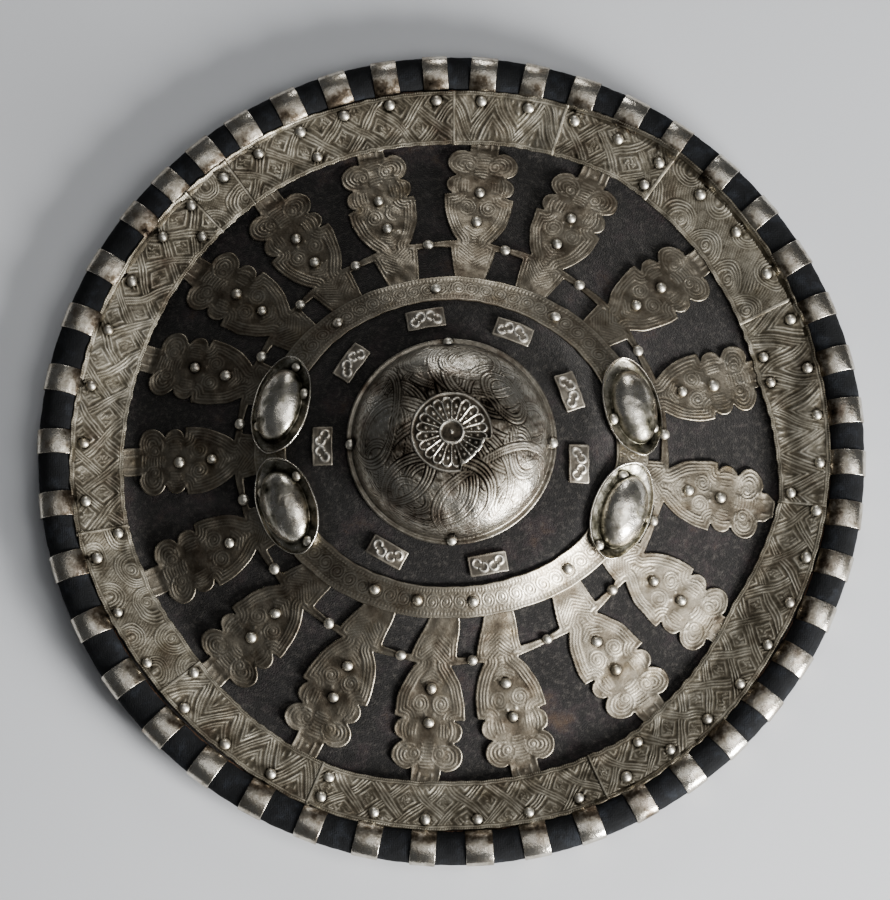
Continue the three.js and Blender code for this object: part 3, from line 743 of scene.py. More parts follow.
def grown(name, places, tree, sizes, vectors=None):
    """Grows a tree on loose points and keeps the result as a plain mesh"""
    mesh = bpy.data.meshes.new(name)
    mesh.from_pydata([tuple(point) for point in np.asarray(places) * MM], [], [])
    for label, values in (vectors or {}).items():
        mesh.attributes.new(label, "FLOAT_VECTOR", "POINT").data.foreach_set("vector", np.ravel(values))
    carrier = placed(name, mesh)
    modifier = carrier.modifiers.new("grow", "NODES")
    modifier.node_group = tree
    for item in tree.interface.items_tree:
        if item.in_out == "INPUT" and item.name in sizes:
            modifier[item.identifier] = sizes[item.name]
    evaluated = carrier.evaluated_get(bpy.context.evaluated_depsgraph_get())
    result = bpy.data.meshes.new_from_object(evaluated)
    carrier.modifiers.clear()
    carrier.data = result
    return carrier


def oriented(tree):
    """Rotation that stands a shape's Z along the point's facing, its Y along the point's heading"""
    up, along = (
        add(tree, "GeometryNodeInputNamedAttribute", {"Name": name}, data_type="FLOAT_VECTOR").outputs[0]
        for name in ("facing", "heading")
    )
    return add(tree, "FunctionNodeAxesToRotation", {0: up, 1: along},
               primary_axis="Z", secondary_axis="Y").outputs[0]


def varied(tree, low, high, seed):
    return add(tree, "FunctionNodeRandomValue", {"Min": low, "Max": high, "Seed": seed},
               data_type="FLOAT_VECTOR").outputs[0]


def shaped(tree, shape, **change):
    return add(tree, "GeometryNodeTransform", {0: shape, **change}).outputs[0]


def stand(tree, points, shape, out, material, rotation=None, scale=(1, 1, 1)):
    """Stands a shape on every point, and makes all of them one smooth mesh of one material"""
    copies = add(tree, "GeometryNodeInstanceOnPoints", {
        "Points": points, "Instance": shape, "Rotation": rotation or oriented(tree), "Scale": scale,
    })
    real = add(tree, "GeometryNodeRealizeInstances", {0: copies.outputs[0]})
    smooth = add(tree, "GeometryNodeSetShadeSmooth", {0: real.outputs[0]})
    dressed = add(tree, "GeometryNodeSetMaterial", {"Geometry": smooth.outputs[0], "Material": material})
    tree.links.new(dressed.outputs[0], out[0])


def rim_strips():
    """A strip is a flat rounded bar bent over the roll, set a little askew and uneven in width"""
    tree, sizes, out = new_tree("strip_wrap", ["Width", "Thickness", "Reach R", "Reach Z", "Seed"])
    arc = add(tree, "GeometryNodeCurveArc", {
        "Resolution": 26, "Radius": 1.0, "Start Angle": -70 * DEGREE, "Sweep Angle": 262 * DEGREE,
    })
    span = add(tree, "ShaderNodeCombineXYZ", {0: sizes["Reach R"], 1: sizes["Reach Z"], 2: 1.0})
    bent = shaped(tree, arc.outputs["Curve"], Scale=span.outputs[0])
    bar = add(tree, "GeometryNodeCurvePrimitiveQuadrilateral", {
        "Width": sizes["Width"], "Height": sizes["Thickness"],
    })
    soft = add(tree, "GeometryNodeFilletCurve", {
        "Curve": bar.outputs[0], "Count": 2, "Radius": 0.35 * MM, "Limit Radius": True,
    }, mode="POLY")
    swept = add(tree, "GeometryNodeCurveToMesh", {
        "Curve": bent, "Profile Curve": shaped(tree, soft.outputs[0], Rotation=(0, 0, math.pi / 2)),
        "Fill Caps": True,
    })
    upright = shaped(tree, swept.outputs[0], Rotation=(math.pi / 2, 0, math.pi / 2))
    askew = varied(tree, (0, 0, -0.03), (0, 0, 0.03), sizes["Seed"])
    tilt = add(tree, "FunctionNodeEulerToRotation", {0: askew})
    facing_out = add(tree, "FunctionNodeRotateRotation", {0: oriented(tree), 1: tilt.outputs[0]},
                     rotation_space="LOCAL")
    wide = varied(tree, (0.92, 1, 1), (1.06, 1, 1), sizes["Seed"])
    stand(tree, sizes[0], upright, out, RIM_METAL, facing_out.outputs[0], wide)
    bearings = strip_bearings()
    up = np.tile([0.0, 0.0, 1.0], (STRIP_COUNT, 1))
    lift = RIM_CLOTH + STRIP_THICKNESS / 2
    return grown("rim_strips", turned(bearings, *RIM_CENTRE), tree, {
        "Width": STRIP_WIDTH * MM, "Thickness": STRIP_THICKNESS * MM,
        "Reach R": (RIM_REACH[0] + lift) * MM, "Reach Z": (RIM_REACH[1] + lift) * MM, "Seed": 4,
    }, {"facing": up, "heading": turned(bearings, 1, 0)})


# Studs, each a low round head
def stud_heads(name, places, ups, radius, height, material):
    tree, sizes, out = new_tree(name + "_tree", ["Radius", "Height", "Seed"])
    head = add(tree, "GeometryNodeMeshUVSphere", {"Segments": 12, "Rings": 7, "Radius": 1.0})
    flat = add(tree, "ShaderNodeCombineXYZ", {0: sizes["Radius"], 1: sizes["Radius"], 2: sizes["Height"]})
    low = shaped(tree, head.outputs["Mesh"], Scale=flat.outputs[0])
    stand(tree, sizes[0], low, out, material, scale=varied(tree, (0.9,) * 3, (1.08,) * 3, sizes["Seed"]))
    ups = np.asarray(ups)
    heading = np.stack([ups[:, 2], np.zeros(len(ups)), -ups[:, 0]], -1)
    return grown(name, places, tree, {"Radius": radius * MM, "Height": height * MM, "Seed": 7},
                 {"facing": ups, "heading": heading})


# Outer band
def band_inner(bearing):
    return VALLEY_RADIUS + wander(BAND_WANDER, bearing)


def lattice(along, across, width):
    """Sets of three cords that cross like a plait, with a smaller diamond and dots in each field"""
    period, pitch = 17.0, CORD_PITCH
    lean = 47 * DEGREE
    first = along * math.sin(lean) + across * math.cos(lean)
    second = along * math.sin(lean) - across * math.cos(lean)
    near, far = ((value + period / 2) % period - period / 2 for value in (first, second))
    cell = np.floor(first / period + 0.5) + np.floor(second / period + 0.5)
    over = cell % 2 > 0.5
    a, b = inside_lines(near, pitch, 3), inside_lines(far, pitch, 3)
    cords = np.where(a & (over | ~b), lines(near, pitch, 3), np.where(b, lines(far, pitch, 3), 0))
    inward = np.minimum(abs(near), abs(far))
    diamond = ridge(inward - 4.3, 0.5) * 0.8
    dots = np.maximum(ridge(np.hypot(abs(near) - period / 2, abs(far) - period / 2), 1.0),
                      comb(along / 3.7) ** 2 * ridge(inward - 6.3, 0.8))
    strokes = comb(near / 1.8) * (inward > 5.2) * 0.8
    return np.where(a | b, cords, np.maximum(diamond, np.where(over, dots, strokes)))


def zigzag(along, across, width):
    """A zigzag of three cords whose triangles hold two smaller triangles and a few dots"""
    period, pitch, rise = 26.0, CORD_PITCH, width / 2 - 3.5
    wave = (2 * abs((along / period) % 1 * 2 - 1) - 1) * rise
    slant = np.hypot(1, 4 * rise / period)
    away = (across - width / 2 - wave) / slant
    nested = np.maximum(ridge(abs(away) - 4.4, 0.5), ridge(abs(away) - 6.1, 0.5) * 0.8)
    dots = comb(along / 3.9) ** 2 * np.maximum(ridge(abs(away) - 8.2, 0.85), ridge(abs(away) - 11.2, 0.85))
    return np.where(inside_lines(away, pitch, 3), lines(away, pitch, 3), np.maximum(nested, dots))


def arcs(along, across, width):
    """Half rounds of many lines on the inner edge, with a curl in each and a dotted crown between"""
    period, pitch = 25.0, CORD_PITCH
    centre = (along + period / 2) % period - period / 2
    reach = np.hypot(centre, across - 4)
    rounds = lines(reach - period / 2 + 3.4, pitch, 4)
    curl = volute(centre, across, (0, 6.5), 4.6, 1.7, 1)[0]
    upper = np.hypot(abs(centre) - period / 2, across - width + 5)
    crown = np.maximum(lines(upper - 6.4, pitch, 4), comb(centre / 3) ** 2 * ridge(upper - 1.5, 1))
    hatch = comb((along + 0.6 * across) / 1.8) * 0.6 * (upper > 9.7) * (reach > period / 2 + 0.3)
    return np.maximum.reduce([
        np.where(reach < period / 2 - 6.7, curl, rounds), crown * (reach > period / 2 + 0.3), hatch,
    ])


BAND_WORK = [zigzag, lattice, arcs, zigzag, lattice, lattice, zigzag, arcs, lattice, arcs, lattice]


def band_plate(index):
    start, end = BAND_SEAMS[index], BAND_SEAMS[index + 1]
    middle = (BAND_RADIUS + VALLEY_RADIUS) / 2
    rows = int((end + PLATE_OVERLAP - start) * DEGREE * middle / BAND_CELL)
    bearing = np.linspace(start, end + PLATE_OVERLAP, rows)[:, None]
    share = np.linspace(0, 1, BAND_COLUMNS)[None, :]
    inner, outer = band_inner(bearing), wander(BAND_LAP, bearing)
    ragged = 0.35 * dents(bearing * 3.6, 0, 40 + index, 6)
    inner, outer = inner + ragged, outer - 0.7 * ragged
    radius = inner + (outer - inner) * share
    x, y = plan(bearing, radius)
    along = (bearing - start) * DEGREE * middle
    across = radius - inner
    width = outer - inner
    edge = np.minimum(across, width - across)
    stray, slip = 1.7 * dents(x, y, 60 + index, 33), 1.1 * dents(x, y, 65 + index, 27)
    work = BAND_WORK[index](along + stray, across + slip, width)
    work = work * (0.8 + 0.3 * dents(x, y, 68 + index, 9))
    border = np.maximum(ridge(edge - 0.6, 0.5) * comb(along / 1.35, 1.0), ridge(edge - 2, 0.45) * 0.6)
    end_edge = np.minimum(along, along[-1] - along)
    stop = ridge(end_edge - 1.2, 0.6) * 0.8
    marks = np.where(edge < BORDER, border, work * step(edge, BORDER, BORDER + 0.4))
    marks = np.where(end_edge < END_BORDER, stop, marks) * (0.78 + 0.22 * dents(x, y, index, 17))
    seat = METAL_LIFT - VELVET - VELVET_LIFT + METAL
    lift = (
        0.9 * step(-across, -9, -2) + 0.8 * step(along - along[-1], -14, -3)
        + 0.5 * dents(x, y, 70 + index, 32) + 0.3 * dents(x, y, 90 + index, 11) * step(-edge, -8, 0)
    )
    name = f"band_plate_{index + 1:02d}_chased"
    return laid(name, BED_LINE, x, y, seat, lift, marks, BAND_WORK_HEIGHT, 6, BAND_METAL)


# Leaves
def leaf_outline(tab_end):
    half = [
        (-42, NECK_END_HALF), (-30, NECK_END_HALF + 2), (-16, NECK_HALF - 2.6), (-3, NECK_HALF),
        (-1, NECK_HALF - 1),
    ]
    bend = np.array([(0, WAIST_HALF - 0.4), (11, 20.5), (BLADE_END, LEAF_HALF - 1)])
    for t in np.linspace(0, 1, 14):
        half.append(tuple((1 - t) ** 2 * bend[0] + 2 * t * (1 - t) * bend[1] + t ** 2 * bend[2]))
    for turn in np.linspace(-86, 78, 12) * DEGREE:
        half.append((SMALL_LOBE[0] + 5.9 * math.sin(turn), SMALL_LOBE[1] + 5.6 * math.cos(turn)))
    for turn in np.linspace(156, 4, 20) * DEGREE:
        half.append((LOBE[0] + LOBE_REACH[0] * math.cos(turn), LOBE[1] + LOBE_REACH[1] * math.sin(turn)))
    half += [(LEAF_LENGTH - 1, TAB_HALF), (tab_end - TAB_HALF * 0.6, TAB_HALF), (tab_end, TAB_HALF * 0.55)]
    return half + [(u, -v) for u, v in reversed(half)]


def leaf_bearing(index):
    """Counts on past the last leaf, and back before the first"""
    turns, place = divmod(index, len(LEAF_BEARINGS))
    return LEAF_BEARINGS[place] + 360 * turns


def arm_bearing(index):
    return (leaf_bearing(index) + leaf_bearing(index + 1)) / 2 - ARM_LEAD


ARM_RADIUS = WAIST_RADIUS - 1.6
LEAF_EXTENT = (-43, LEAF_LENGTH + TUCKED_TAB, -30, 30)
LEAF_TABS = {True: LEAF_LENGTH + TUCKED_TAB, False: LEAF_LENGTH + SHORT_TAB}
LEAF_EDGES = {tucked: polygon_distance(leaf_outline(end)) for tucked, end in LEAF_TABS.items()}


def arm_outline(span):
    """Horn along the waist's circle over a span of bearings, thinner towards the stud that it shares with the
    next leaf, in a leaf's own outward and sideways"""
    share = np.linspace(0, 1, 9)
    turns = share * span * DEGREE
    half = ARM_WIDTH / 2 * (1.5 - 0.75 * share)
    inner, outer = (
        list(zip(radius * np.cos(turns) - WAIST_RADIUS, radius * np.sin(turns)))
        for radius in (ARM_RADIUS - half, ARM_RADIUS + half)
    )
    return inner + outer[::-1]


def leaf_marks(u, v, depth, hand=1):
    """Round each outer lobe and along the blade's sides run nested lines, with curls and dots inside them"""
    side = abs(v)
    du, dv = u - LOBE[0], side - LOBE[1]
    out = (1 - np.hypot(du / LOBE_REACH[0], dv / LOBE_REACH[1])) * LOBE_REACH[0]
    curl, in_curl = volute(u, side, (LOBE[0] - 1.2, LOBE[1] - 3), 4.2, 1.7, hand)
    lobe = np.where(in_curl, curl, np.maximum.reduce([
        comb((out - 2.5) / LINE_PITCH) * step(out, 1.7, 2.3) * (side > 2.4),
        comb((np.hypot(u - LEAF_LENGTH * 0.57, side) - 9.6) / LINE_PITCH) * (side < 4.2) * (u < LOBE[0] + 7),
        spots(u, side, [(LOBE[0] + 3.6, 5.2), (LOBE[0] - 4.8, LOBE[1] + 1.5)], 0.8),
    ]))
    tier = np.maximum(
        comb((side - 17.6 + 0.06 * (u - SMALL_LOBE[0]) ** 2) / LINE_PITCH) * (side > 12.2) * (side < 17),
        comb((side - 9.2) / LINE_PITCH) * (side > 7) * (side < 11.4) * (abs(u - SMALL_LOBE[0]) < 3.6) * 0.8,
    )
    sides = comb((depth - 2.9) / LINE_PITCH) * step(-depth, -8, -7.4)
    swirl, in_swirl = volute(u, side, (BLADE_END - 7.5, 6.3), 6.1, 1.75, hand)
    inner = np.maximum.reduce([
        np.where(in_swirl, swirl, comb((u - 0.55 * side) / 1.9) * (u < 11) * (depth > 8.4)),
        spots(u, side, [(BLADE_END - 1.6, 2.6), (BLADE_END - 2.2, 8.2), (11.5, 2.8), (8, 0)], 0.8),
    ])
    low_edge = np.where(u > BLADE_END - 3.4, comb((BLADE_END - u - 1.9) / LINE_PITCH) * (side > 10) * 0.7, 0)
    blade = np.where(depth < 7.8, sides, np.maximum(inner, low_edge))
    neck = np.where(side < 8.4, comb((0.8 * side - u) / 2.1), comb((depth - 2.6) / 1.7)) * step(u, -17, -14)
    zones = [u > LOBE[0] - LOBE_REACH[0] * 0.92, u > BLADE_END + 0.6, u > -1]
    body = np.select(zones, [lobe, tier, blade], neck)
    tab = np.maximum(spots(u, v, [(LEAF_LENGTH + 4.2, 0)], 1.0), ridge(side - 4, 0.5))
    tab = tab * (u > LEAF_LENGTH + 1.2)
    body = np.where(u > LEAF_LENGTH + 0.6, tab, body)
    rim = ridge(depth - 0.5, 0.6) * 0.55
    marks = np.where(depth < 1.6, rim, body * step(depth, 1.6, 2.2))
    return np.where((u < 1) & (side > NECK_HALF + 0.5), ridge(depth - 0.7, 0.6) * 0.45, marks)


LEAF_PLACES = flat_grid(LEAF_EXTENT, LEAF_CELL)[:2]
LEAF_FIELDS = {tucked: edge(*LEAF_PLACES) for tucked, edge in LEAF_EDGES.items()}


def leaf(index):
    bearing = LEAF_BEARINGS[index]
    tucked = index != SHORT_LEAF
    arms = [polygon_distance(arm_outline(arm_bearing(arm) - bearing)) for arm in (index, index - 1)]
    draw = np.random.default_rng(100 + index)
    spread, skew, bow = draw.uniform(-0.04, 0.04), draw.uniform(-0.04, 0.04), draw.uniform(-1.4, 1.4)
    hand = 1 if index % 2 else -1
    upright = math.cos(bearing * DEGREE)
    longer, slant = 3.4 * upright ** 2 - 1.4, 4.5 * min(upright, 0)
    neck_end = RING_OUTER * ring_spread(bearing) - 6 - WAIST_RADIUS

    def distance(u, v, body=None):
        body = LEAF_EDGES[tucked](u, v) if body is None else body
        ragged = 0.3 * dents(u, v, 250 + index, 13) * step(u, 2, 8)
        return np.maximum(np.minimum.reduce([body, arms[0](u, v), arms[1](u, v)]) + ragged, neck_end - u)

    def marks(u, v, depth):
        worn = 0.68 + 0.32 * dents(u, v, 200 + index, 14)
        stray_u, stray_v = u + 0.35 * dents(u, v, 210 + index, 17), v + 0.35 * dents(u, v, 220 + index, 15)
        return LEAF_WORK_HEIGHT * leaf_marks(stray_u, stray_v, depth, hand) * worn

    def place(u, v, lift, depth):
        share = np.clip(u / LEAF_LENGTH, 0, 1)
        sideways = v * (1 + spread * share) + skew * u * share + bow * share ** 2 + slant * step(-u, 4, 26)
        x, y = beside(bearing, WAIST_RADIUS + u + longer * share, sideways)
        curl = step(-depth, -4, 0) * step(u, 20, 40) * (0.35 + 0.35 * dents(u, v, 300 + index, 20))
        wave = 0.4 * dents(u, v, 400 + index, 28) + 0.15 * dents(u, v, 500 + index, 9)
        tuck = -0.7 * step(u, LEAF_LENGTH - 1, LEAF_LENGTH + 3) - 0.5 * step(-u, 12, 26)
        wave = wave * step(LEAF_LENGTH - u, -2, 6)
        return on_line(FRONT_LINE, x, y, METAL_LIFT + METAL, lift + curl + wave + tuck)

    field = distance(*LEAF_PLACES, LEAF_FIELDS[tucked])
    name = f"leaf_{index + 1:02d}_chased"
    return trimmed(name, distance, LEAF_EXTENT, LEAF_CELL, place, marks, LEAF_METAL, field)


# Inner ring
def ring_spread(bearing):
    return 1 + RING_SPREAD * np.sin(np.asarray(bearing) * DEGREE) ** 2


def inner_ring():
    bearing, share = round_grid(*RING_GRID)
    ragged = 0.5 * dents(bearing, 0, 21, 40) + 0.25 * dents(bearing, 0, 22, 9)
    inner = RING_INNER * ring_spread(bearing) + ragged
    outer = RING_OUTER * ring_spread(bearing) + 0.8 * ragged
    radius = inner + (outer - inner) * share
    x, y = plan(bearing, radius)
    along = bearing * DEGREE * (RING_OUTER + RING_INNER) / 2 * 1.06
    across = radius - inner
    width = outer - inner
    edge = np.minimum(across, width - across)
    cell = np.floor(along / SCROLL_PITCH)
    hand = np.where(cell % 2 > 0.5, 1, -1)
    du, dv = along - (cell + 0.5) * SCROLL_PITCH, across - width / 2
    reach, turn = np.hypot(du, dv), np.arctan2(dv, du) / (2 * math.pi)
    scroll = np.maximum(comb(reach / 1.7 + hand * turn), ridge(reach, 0.9))
    scroll = np.where(reach < SCROLL_RADIUS, scroll, comb((abs(du) + abs(dv)) / 1.8) * 0.6)
    beads = ridge(edge - 2.4, 0.7) * (0.3 + 0.7 * comb(along / 2.1))
    border = np.maximum(ridge(edge - 0.8, 0.5) * 0.8, beads)
    marks = np.where(edge < RING_BORDER, border, scroll * step(edge, RING_BORDER - 0.1, RING_BORDER + 0.5))
    lift = 0.35 * dents(x, y, 23, 26) + 0.3 * step(-edge, -3, 0)
    over_leaves = 0.8
    seat = METAL_LIFT + METAL + over_leaves
    name = "inner_ring_chased"
    return laid(name, FRONT_LINE, x, y, seat, lift, marks, RING_WORK_HEIGHT, 5, LEAF_METAL, closed=True)


# Bosses: along is clockwise, across is outward, height stands off the flange's plane
def front_height(radius):
    return np.interp(radius, FINE, FRONT_LINE)


def boss_point(index, along, across, height):
    bearing, radius, _ = BOSSES[index]
    inner, outer = front_height(radius - BOSS_HALF[1]), front_height(radius + BOSS_HALF[1])
    lean = math.atan((inner - outer) / (2 * BOSS_HALF[1]))
    out = across * math.cos(lean) + height * math.sin(lean)
    up = height * math.cos(lean) - across * math.sin(lean)
    x, y = beside(bearing, radius + out, along)
    return np.stack([x, y, (inner + outer) / 2 + BOSS_LIFT + up], -1)


def oval_boss(index):
    dome_columns, flange_columns = 22, 20
    turn = np.arange(BOSS_ROWS)[:, None] * 2 * math.pi / BOSS_ROWS
    c, s = np.cos(turn), np.sin(turn)
    rise = np.linspace(0, math.pi / 2, dome_columns)[None, :]
    dome_a = BOSS_DOME_HALF[0] * c * np.sin(rise)
    dome_b = BOSS_DOME_HALF[1] * s * np.sin(rise) + BOSS_DOME_OUT
    dome_h = BOSS_DOME_HEIGHT * np.cos(rise) * np.ones_like(turn) + METAL
    edge_a = BOSS_HALF[0] * np.sign(c) * abs(c) ** 0.9
    edge_b = (BOSS_HALF[1] + BOSS_FLARE) * np.sign(s) * abs(s) ** 1.2
    share = np.linspace(0, 1, flange_columns)[None, 1:]
    flange_a = BOSS_DOME_HALF[0] * c * (1 - share) + edge_a * share
    foot_b = BOSS_DOME_HALF[1] * s + BOSS_DOME_OUT
    flange_b = foot_b * (1 - share) + edge_b * share
    span = np.hypot(edge_a - BOSS_DOME_HALF[0] * c, edge_b - foot_b)
    inset = span * (1 - share)
    bead = 1.1 * ridge(inset - 0.5, 0.8)
    tip = 1.8 * step(abs(flange_a), 22, 31) + (0.9 + 0.9 * step(s, 0.1, 0.8)) * share ** 2
    flange_h = METAL + bead + tip
    along = np.concatenate([dome_a, flange_a], 1)
    across = np.concatenate([dome_b, flange_b], 1)
    height = np.concatenate([dome_h, flange_h], 1)
    height = height + 0.22 * dents(along, across, 600 + index, 16)
    height = height + 0.11 * dents(along, across, 620 + index, 5)
    top = boss_point(index, along, across, height)
    few = [0, 4, 8, 12, 16, 21, 31, 40]
    thin = np.array([METAL] * 5 + [METAL, METAL + 0.2, METAL + 0.4])
    under = boss_point(index, along[:, few] * 0.999, across[:, few] * 0.999, height[:, few] - thin)
    foot = ridge(np.sin(rise) - 1, 0.05) * np.ones_like(dome_h)
    relief = np.concatenate([0.75 - 0.9 * foot, bead + 0.15 - 0.5 * ridge(span * share, 1.5)], 1)
    return woven(f"oval_boss_{index + 1}_polished", top, under, BOSS_METAL, relief, closed=True, pole=True)


# Plaques
def plaque(index):
    bearing, turn = PLAQUES[index]
    half_v, half_u = PLAQUE_HALF

    def distance(u, v):
        du, dv = abs(u) - half_u + PLAQUE_ROUNDING, abs(v) - half_v + PLAQUE_ROUNDING
        outside = np.hypot(np.maximum(du, 0), np.maximum(dv, 0)) - PLAQUE_ROUNDING
        return outside + np.minimum(np.maximum(du, dv), 0) + 0.15 * dents(u, v, 700 + index, 9)

    def marks(u, v, depth):
        side = abs(v)
        outer = ridge(np.hypot(u + 1.4, side - 6.9) - 2.4, 0.75) * ~((u > -1.2) & (side < 6.7))
        inner = ridge(np.hypot(u - 1.4, side - 3.1) - 2.5, 0.75) * ~((u < 1.2) & (side > 3.3))
        return PLAQUE_WORK_HEIGHT * np.maximum.reduce([outer, inner, 0.3 * ridge(depth - 0.5, 0.5)])

    def place(u, v, lift, depth):
        c, s = math.cos(turn * DEGREE), math.sin(turn * DEGREE)
        x, y = beside(bearing, PLAQUE_RADIUS + u * c - v * s, u * s + v * c)
        crown = 0.9 * (1 - (v / half_v) ** 2) + 0.3 * dents(u, v, 720 + index, 12)
        return on_line(FRONT_LINE, x, y, METAL_LIFT + METAL, lift + crown * (depth >= 0))

    extent = (-half_u - 1, half_u + 1, -half_v - 1, half_v + 1)
    return trimmed(f"plaque_{index + 1}_stamped", distance, extent, PLAQUE_CELL, place, marks, PLAQUE_METAL)


# Dome and rosette
def dome_surface(radius, lift, bulge=DOME_BULGE, height=DOME_HEIGHT, foot=DOME_FOOT + METAL):
    """Radius and height of the dome's line at a plan radius, lifted along its normal"""
    share = np.clip(radius / bulge, 0, 0.9999)
    rise = np.sqrt(1 - share ** DOME_SQUARENESS)
    slope = height / bulge * DOME_SQUARENESS / 2 * share ** (DOME_SQUARENESS - 1) / rise
    lean = 1 / np.sqrt(1 + slope ** 2)
    return radius + slope * lean * lift, foot + height * rise + lean * lift


def dome_marks(x, y):
    """Plain bands between cut lines, laid over and under each other in uneven loops on a hatched ground"""
    draw = np.random.default_rng(5)
    hatch = comb((x + 0.45 * y) / 1.9, 1.0) * comb((0.4 * x - y) / 5.5, 1.0)
    marks = 0.25 + 0.6 * hatch + 0.2 * dents(x, y, 36, 4)
    for k in range(DOME_LOOPS):
        cx, cy = plan(k * GOLDEN_TURN + draw.uniform(-9, 9), draw.uniform(28, 66))
        squash, tip = draw.uniform(0.75, 1.0), draw.uniform(0, math.pi)
        along = (x - cx) * math.cos(tip) + (y - cy) * math.sin(tip)
        beside_it = (y - cy) * math.cos(tip) - (x - cx) * math.sin(tip)
        size = draw.choice(LOOP_RADII) * draw.uniform(0.85, 1.1)
        away = abs(np.hypot(along, beside_it * squash) - size)
        cuts = ridge(away - 2.5, 0.42) + 0.8 * ridge(away - 0.7, 0.38)
        marks = np.where(away < 3.1, 0.7 - 1.15 * cuts, marks)
    return marks


def dome():
    bearing, share = round_grid(*DOME_GRID)
    turn = math.pi / 2 * share
    radius = (DOME_BULGE * np.sin(turn) ** (2 / DOME_SQUARENESS)) * np.ones_like(bearing)
    reach = DOME_BULGE * turn * 0.92
    x, y = plan(bearing, radius)
    marks = dome_marks(*plan(bearing, reach)) * (0.8 + 0.2 * dents(x, y, 31, 22))
    fade = step(-turn, -math.pi / 2, -1.5)
    uneven = 0.5 * dents(x, y, 32, 34) + 0.18 * dents(x, y, 33, 12)
    lift = DOME_WORK_HEIGHT * marks * fade + uneven * step(-turn, -1.5, -1.2)
    out, up = dome_surface(radius, lift)
    flange_r = (DOME_BULGE + np.array([0.6, 1.3, 2.1, 2.9, 3.5]))[None, :] * np.ones_like(bearing)
    flange_z = DOME_FOOT + METAL + np.array([0.0, 0.05, 0.3, 0.35, 0.0])[None, :] * np.ones_like(bearing)
    out, up = np.concatenate([out, flange_r], 1), np.concatenate([up, flange_z], 1)
    top = turned(bearing, out, up)
    few = DOME_UNDER_COLUMNS
    low_out = np.maximum(out[:, few] - [0, 0, 0, 0, 0.2, 0.5, 0.8, 0.9, 0.0], 0)
    under = turned(bearing, low_out, up[:, few] - METAL)
    shade = marks - 0.4 * step(-reach, -38, -22) + 0.2 * dents(x, y, 37, 30)
    relief = np.concatenate([np.clip(shade, -0.7, 1), 0.1 * np.ones_like(flange_r)], 1)
    return woven("dome_chased", top, under, DOME_METAL, relief, closed=True, pole=True)


def rosette():
    bearing, share = round_grid(*ROSETTE_GRID)
    start, end = ROSETTE_BREAK
    torn = step(bearing, start, start + 6) * step(-bearing, -end, -end + 6)
    bite = torn * (TORN_BITE + 1.2 * dents(bearing, 0, 51, 26) + 0.3 * dents(bearing, 0, 52, 8))
    radius = (ROSETTE_RADIUS - bite) * share
    spoke_phase = bearing / 360 * ROSETTE_SPOKES
    width = 2 * math.pi * radius / ROSETTE_SPOKES
    side = ((spoke_phase + 0.5) % 1 - 0.5) * width
    middle = (spoke_phase % 1 - 0.5) * width
    spokes = ridge(side, 0.5) * step(radius, 7.6, 8.6) * step(-radius, -19.2, -18.2)
    arches = ridge(np.hypot(middle, radius - ROSETTE_ARCH_RADIUS) - 2.5, 0.5) * (radius > ROSETTE_ARCH_RADIUS)
    outer_dots = ridge(np.hypot(middle, radius - 15.8), 0.95)
    dots = np.maximum(outer_dots, 0.8 * ridge(np.hypot(middle, radius - 11.8), 0.7))
    hub = np.maximum(ridge(radius - ROSETTE_HUB, 0.75), ridge(radius, 1.1))
    rim = ridge(ROSETTE_RADIUS - bite - 0.9 - radius, 0.6 + 0.5 * torn)
    marks = np.maximum.reduce([spokes, arches, dots * 0.85, hub, rim * (0.8 + 0.2 * torn)])
    uneven = 0.35 * dents(*plan(bearing, radius), 53, 16) * step(radius, 5, 15)
    base = TORN_LIFT * torn * step(radius, 10, 20) + uneven + 2 * GAP + METAL
    few = np.linspace(0, share.shape[1] - 1, 7).astype(int)
    out, up = dome_surface(radius, base + ROSETTE_WORK_HEIGHT * marks)
    low_out, low_up = dome_surface(radius[:, few], base[:, few] - METAL)
    top = turned(bearing, out, up)
    under = turned(bearing, low_out, low_up)
    relief = np.clip(1.3 * marks - 0.35, -0.35, 0.9)
    return woven("rosette_chased", top, under, DOME_METAL, relief, closed=True, pole=True)


# Grip
def back_height(radius):
    return between(BACK_KNOTS, radius)


def grip_line(share):
    """Height of the strap's middle along its half span, from -1 to 1"""
    reach = GRIP_HALF - GRIP_PAD
    pad = back_height(GRIP_HALF - GRIP_PAD / 2) - GAP - GRIP_THICKNESS / 2 - 1.5
    across = np.clip(share * GRIP_HALF / reach, -1, 1)
    return pad - GRIP_DROP * np.cos(across * math.pi / 2).clip(0) ** 0.8


